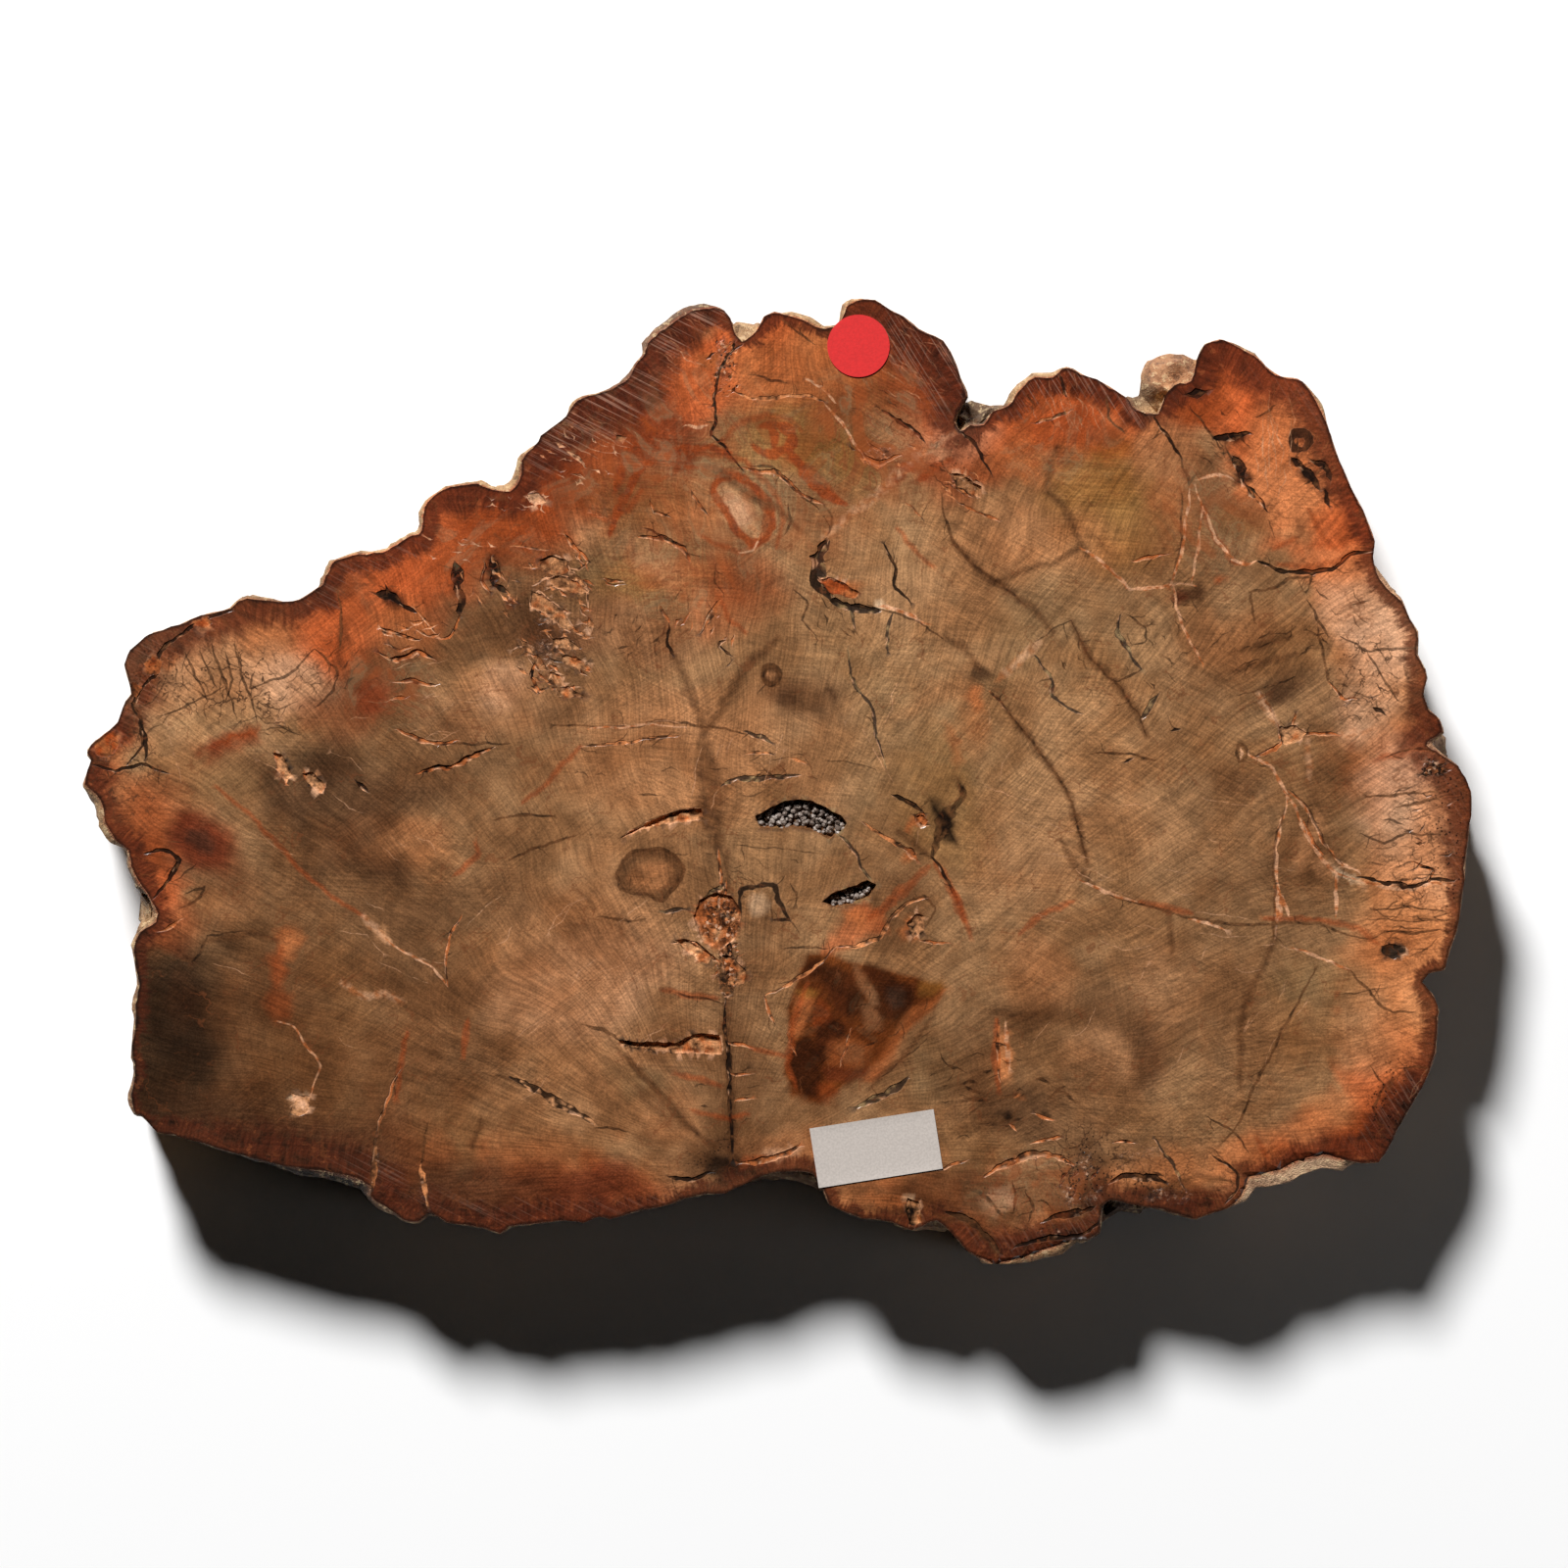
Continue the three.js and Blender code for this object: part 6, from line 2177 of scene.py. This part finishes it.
def new_object(name, bm, materials):
    """An object from a bmesh, which is freed."""
    mesh = bpy.data.meshes.new(name)
    bm.to_mesh(mesh)
    bm.free()
    obj = bpy.data.objects.new(name, mesh)
    bpy.context.scene.collection.objects.link(obj)
    for material in materials:
        mesh.materials.append(material)
    return obj


def stand_for(obj, node):
    """Lets a finished piece stand for its CAD node."""
    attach(obj, "root")
    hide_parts(node)


class SLICE_OT_slab(bpy.types.Operator):
    """Build the slab with its polished face, bark wall and sawn underside"""
    bl_idname = "slice.slab"
    bl_label = "Petrified wood slab"

    def execute(self, context):
        seams, pits = face_features()
        bm, face, base = slab_bmesh(seams, pits)
        mesh = bpy.data.meshes.new("petrified_wood")
        dress_slab(bm, face, base, seams, pits, mesh)
        bm.free()
        slab = bpy.data.objects.new("petrified_wood", mesh)
        context.scene.collection.objects.link(slab)
        for material in (polished_material(), bark_material(), sawn_material()):
            mesh.materials.append(material)
        stand_for(slab, "petrified_wood_slab")
        return {"FINISHED"}


def add_crystal(bm, spot, radius, height, lean, turn):
    """Adds a six-sided crystal with a pointed end."""
    verts = bmesh.ops.create_cone(
        bm, segments=6, radius1=radius, radius2=radius * 0.92, depth=height, cap_ends=True)["verts"]
    tip = max((f for f in {f for v in verts for f in v.link_faces} if len(f.verts) == 6),
              key=lambda f: f.calc_center_median().z)
    poked = bmesh.ops.poke(bm, faces=[tip], offset=radius * 1.15)
    pose = Matrix.Rotation(lean[0], 4, "X") @ Matrix.Rotation(lean[1], 4, "Y") @ Matrix.Rotation(turn, 4, "Z")
    bmesh.ops.transform(bm, verts=verts + poked["verts"], matrix=Matrix.Translation(spot) @ pose)


class SLICE_OT_crusts(bpy.types.Operator):
    """Line the two open hollows with crusts of small quartz crystals"""
    bl_idname = "slice.crusts"
    bl_label = "Quartz crusts"

    def execute(self, context):
        material = quartz_material()
        crust = settings("slice_crust")
        for number, (node, pit) in enumerate(vug_pits().items()):
            low, high = (np.array(corner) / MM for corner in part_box(node))
            bm = bmesh.new()
            random = np.random.default_rng(70 + number)
            spots = hex_grid(low, high, crust.spacing / MM, 90 + number, jitter=0.35)
            spots = spots[inside(spots, pit.ring)]
            room = line_distance(spots, pit.ring, closed=True)[0]
            for x, y in spots[room > 0.15]:
                radius = crust.radius / MM * random.uniform(0.45, 1.0)
                height = min(random.uniform(2.0, 2.5), high[2] - low[2] - 0.2)
                lean = random.uniform(-0.5, 0.5, 2)
                spot = Vector((x, y, low[2] + 0.15 + height / 2)) * MM
                add_crystal(bm, spot, radius * MM, height * MM, lean, random.uniform(0, math.tau))
            for v in bm.verts:
                v.co = Vector(np.clip(v.co, low * MM, high * MM))
            stand_for(new_object(node.replace("crust", "crystals"), bm, (material,)), node)
        return {"FINISHED"}


def thicken(bm, height):
    """Gives a flat sheet a thickness, downwards when the height is negative."""
    extruded = bmesh.ops.extrude_face_region(bm, geom=bm.faces[:])
    moved = [item for item in extruded["geom"] if isinstance(item, bmesh.types.BMVert)]
    bmesh.ops.translate(bm, verts=moved, vec=(0, 0, height))
    bmesh.ops.recalc_face_normals(bm, faces=bm.faces)


class SLICE_OT_stickers(bpy.types.Operator):
    """Lay the red paper dot and the blank paper label on the face"""
    bl_idname = "slice.stickers"
    bl_label = "Paper stickers"

    def execute(self, context):
        stickers = settings("slice_stickers")
        self.make_dot(stickers)
        self.make_label(stickers)
        return {"FINISHED"}

    def make_dot(self, stickers):
        """The round dot, a hair smaller than its box."""
        low, high = (Vector(corner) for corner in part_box("red_dot_sticker"))
        middle = (low + high) / 2
        bm = bmesh.new()
        radius = (high.x - low.x) / 2
        bmesh.ops.create_circle(bm, cap_ends=True, segments=96, radius=radius - 0.03 * MM)
        bmesh.ops.translate(bm, verts=bm.verts, vec=(middle.x, middle.y, high.z))
        thicken(bm, low.z - high.z)
        paper = paper_material("printed_red_paper", stickers.red[:], 0.6)
        stand_for(new_object("red_dot", bm, (paper,)), "red_dot_sticker")

    def make_label(self, stickers):
        """The blank label, turned as on the slice, with its corners curled up a little."""
        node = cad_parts["blank_paper_label"]
        corners = sorted({(round(v.co.x, 6), round(v.co.y, 6)) for v in node.data.vertices})
        middle = Vector([sum(axis) / len(corners) for axis in zip(*corners)])
        low, high = (Vector(corner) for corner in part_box("blank_paper_label"))
        left, right = Vector(corners[0]), Vector(corners[-1])
        bottom = min((Vector(corner) for corner in corners), key=lambda corner: corner.y)
        along = (right - bottom).normalized()
        length, width = (right - bottom).length, (left - bottom).length
        bm = bmesh.new()
        bmesh.ops.create_grid(bm, x_segments=28, y_segments=14, size=0.5)
        bmesh.ops.scale(bm, verts=bm.verts, vec=(length, width, 1))
        thickness = 0.5 * (high.z - low.z)
        for v in bm.verts:
            reach = (abs(v.co.x) / length * 2) ** 6 + (abs(v.co.y) / width * 2) ** 6
            v.co.z = min(stickers.corner_lift * reach / 2, high.z - low.z - thickness)
        thicken(bm, thickness)
        turn = Matrix.Rotation(math.atan2(along.y, along.x), 4, "Z")
        bmesh.ops.transform(bm, verts=bm.verts, matrix=Matrix.Translation((middle.x, middle.y, low.z)) @ turn)
        paper = paper_material("white_label_paper", stickers.white[:], 0.7)
        stand_for(new_object("white_label", bm, (paper,)), "blank_paper_label")


class SLICE_OT_stage(bpy.types.Operator):
    """Lay the white table, hang the soft lights and set the camera straight above"""
    bl_idname = "slice.stage"
    bl_label = "Table, lights and camera"

    def execute(self, context):
        stage = settings("slice_stage")
        self.make_table()
        self.make_lights(stage)
        self.make_camera(stage)
        return {"FINISHED"}

    def make_table(self):
        """A white table that reaches past the picture."""
        bm = bmesh.new()
        bmesh.ops.create_grid(bm, x_segments=1, y_segments=1, size=3.0)
        new_object("table", bm, (table_material(),))

    def make_lights(self, stage):
        """The key light behind the slice, a small light at its right and a dim room."""
        flat = math.cos(stage.key_angle) * stage.key_distance
        spot = (math.cos(stage.key_turn) * flat, math.sin(stage.key_turn) * flat,
                math.sin(stage.key_angle) * stage.key_distance)
        self.add_softbox("key_softbox", spot, stage.key_size, stage.key_power)
        self.add_softbox("fill_card", FILL_SPOT, stage.fill_size, stage.fill_power)
        world = bpy.data.worlds.new("dim_studio")
        world.use_nodes = True
        background = world.node_tree.nodes["Background"]
        background.inputs["Color"].default_value = (1, 1, 1, 1)
        background.inputs["Strength"].default_value = stage.room_light
        bpy.context.scene.world = world

    def add_softbox(self, name, spot, size, power):
        """A round softbox that faces the slice."""
        light = bpy.data.lights.new(name, "AREA")
        light.shape = "DISK"
        light.size = size
        light.energy = power
        softbox = bpy.data.objects.new(name, light)
        softbox.location = spot
        softbox.rotation_euler = Vector(spot).to_track_quat("Z", "Y").to_euler()
        bpy.context.scene.collection.objects.link(softbox)

    def make_camera(self, stage):
        """A camera straight above, whose picture is the straight-down view in VIEW_PIXELS."""
        scene = bpy.context.scene
        camera_data = bpy.data.cameras.new("camera")
        x, y = place((VIEW_PIXELS / 2, VIEW_PIXELS / 2))
        camera_data.sensor_fit = "HORIZONTAL"
        camera_data.lens = camera_data.sensor_width * stage.camera_height / (VIEW_PIXELS * PIXEL * MM)
        camera = bpy.data.objects.new("camera", camera_data)
        camera.location = (x * MM, y * MM, SLAB_HIGH[2] + stage.camera_height)
        scene.collection.objects.link(camera)
        scene.camera = camera
        scene.view_settings.view_transform = "Standard"


class SLICE_PT_panel(bpy.types.Panel):
    """Lists the pieces of the slice"""
    bl_idname = "SLICE_PT_panel"
    bl_label = "Petrified wood slice"
    bl_space_type = "VIEW_3D"
    bl_region_type = "UI"
    bl_category = "Stone"

    def draw(self, context):
        for operator in OPERATORS:
            self.layout.operator(operator.bl_idname)
        for name in GROUPS:
            group = getattr(context.scene, name)
            box = self.layout.box()
            for key in group.bl_rna.properties.keys():
                if key not in ("rna_type", "name"):
                    box.prop(group, key)


GROUPS = {
    "slice_palette": PaletteSettings,
    "slice_slab": SlabSettings,
    "slice_crust": CrustSettings,
    "slice_stickers": StickerSettings,
    "slice_stage": StageSettings,
}
OPERATORS = (SLICE_OT_slab, SLICE_OT_crusts, SLICE_OT_stickers, SLICE_OT_stage)


def register():
    """Adds the classes, and a group of settings of each kind to the scene."""
    for cls in (*GROUPS.values(), *OPERATORS, SLICE_PT_panel):
        bpy.utils.register_class(cls)
    for name, group in GROUPS.items():
        setattr(bpy.types.Scene, name, bpy.props.PointerProperty(type=group))


def unregister():
    """Takes the settings and the classes away again."""
    for name in GROUPS:
        delattr(bpy.types.Scene, name)
    for cls in (SLICE_PT_panel, *reversed(OPERATORS), *reversed(GROUPS.values())):
        bpy.utils.unregister_class(cls)


def main():
    """Builds the pieces and the stage."""
    register()
    bpy.ops.slice.slab()
    bpy.ops.slice.crusts()
    bpy.ops.slice.stickers()
    bpy.ops.slice.stage()
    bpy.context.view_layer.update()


if __name__ == "__main__":
    main()
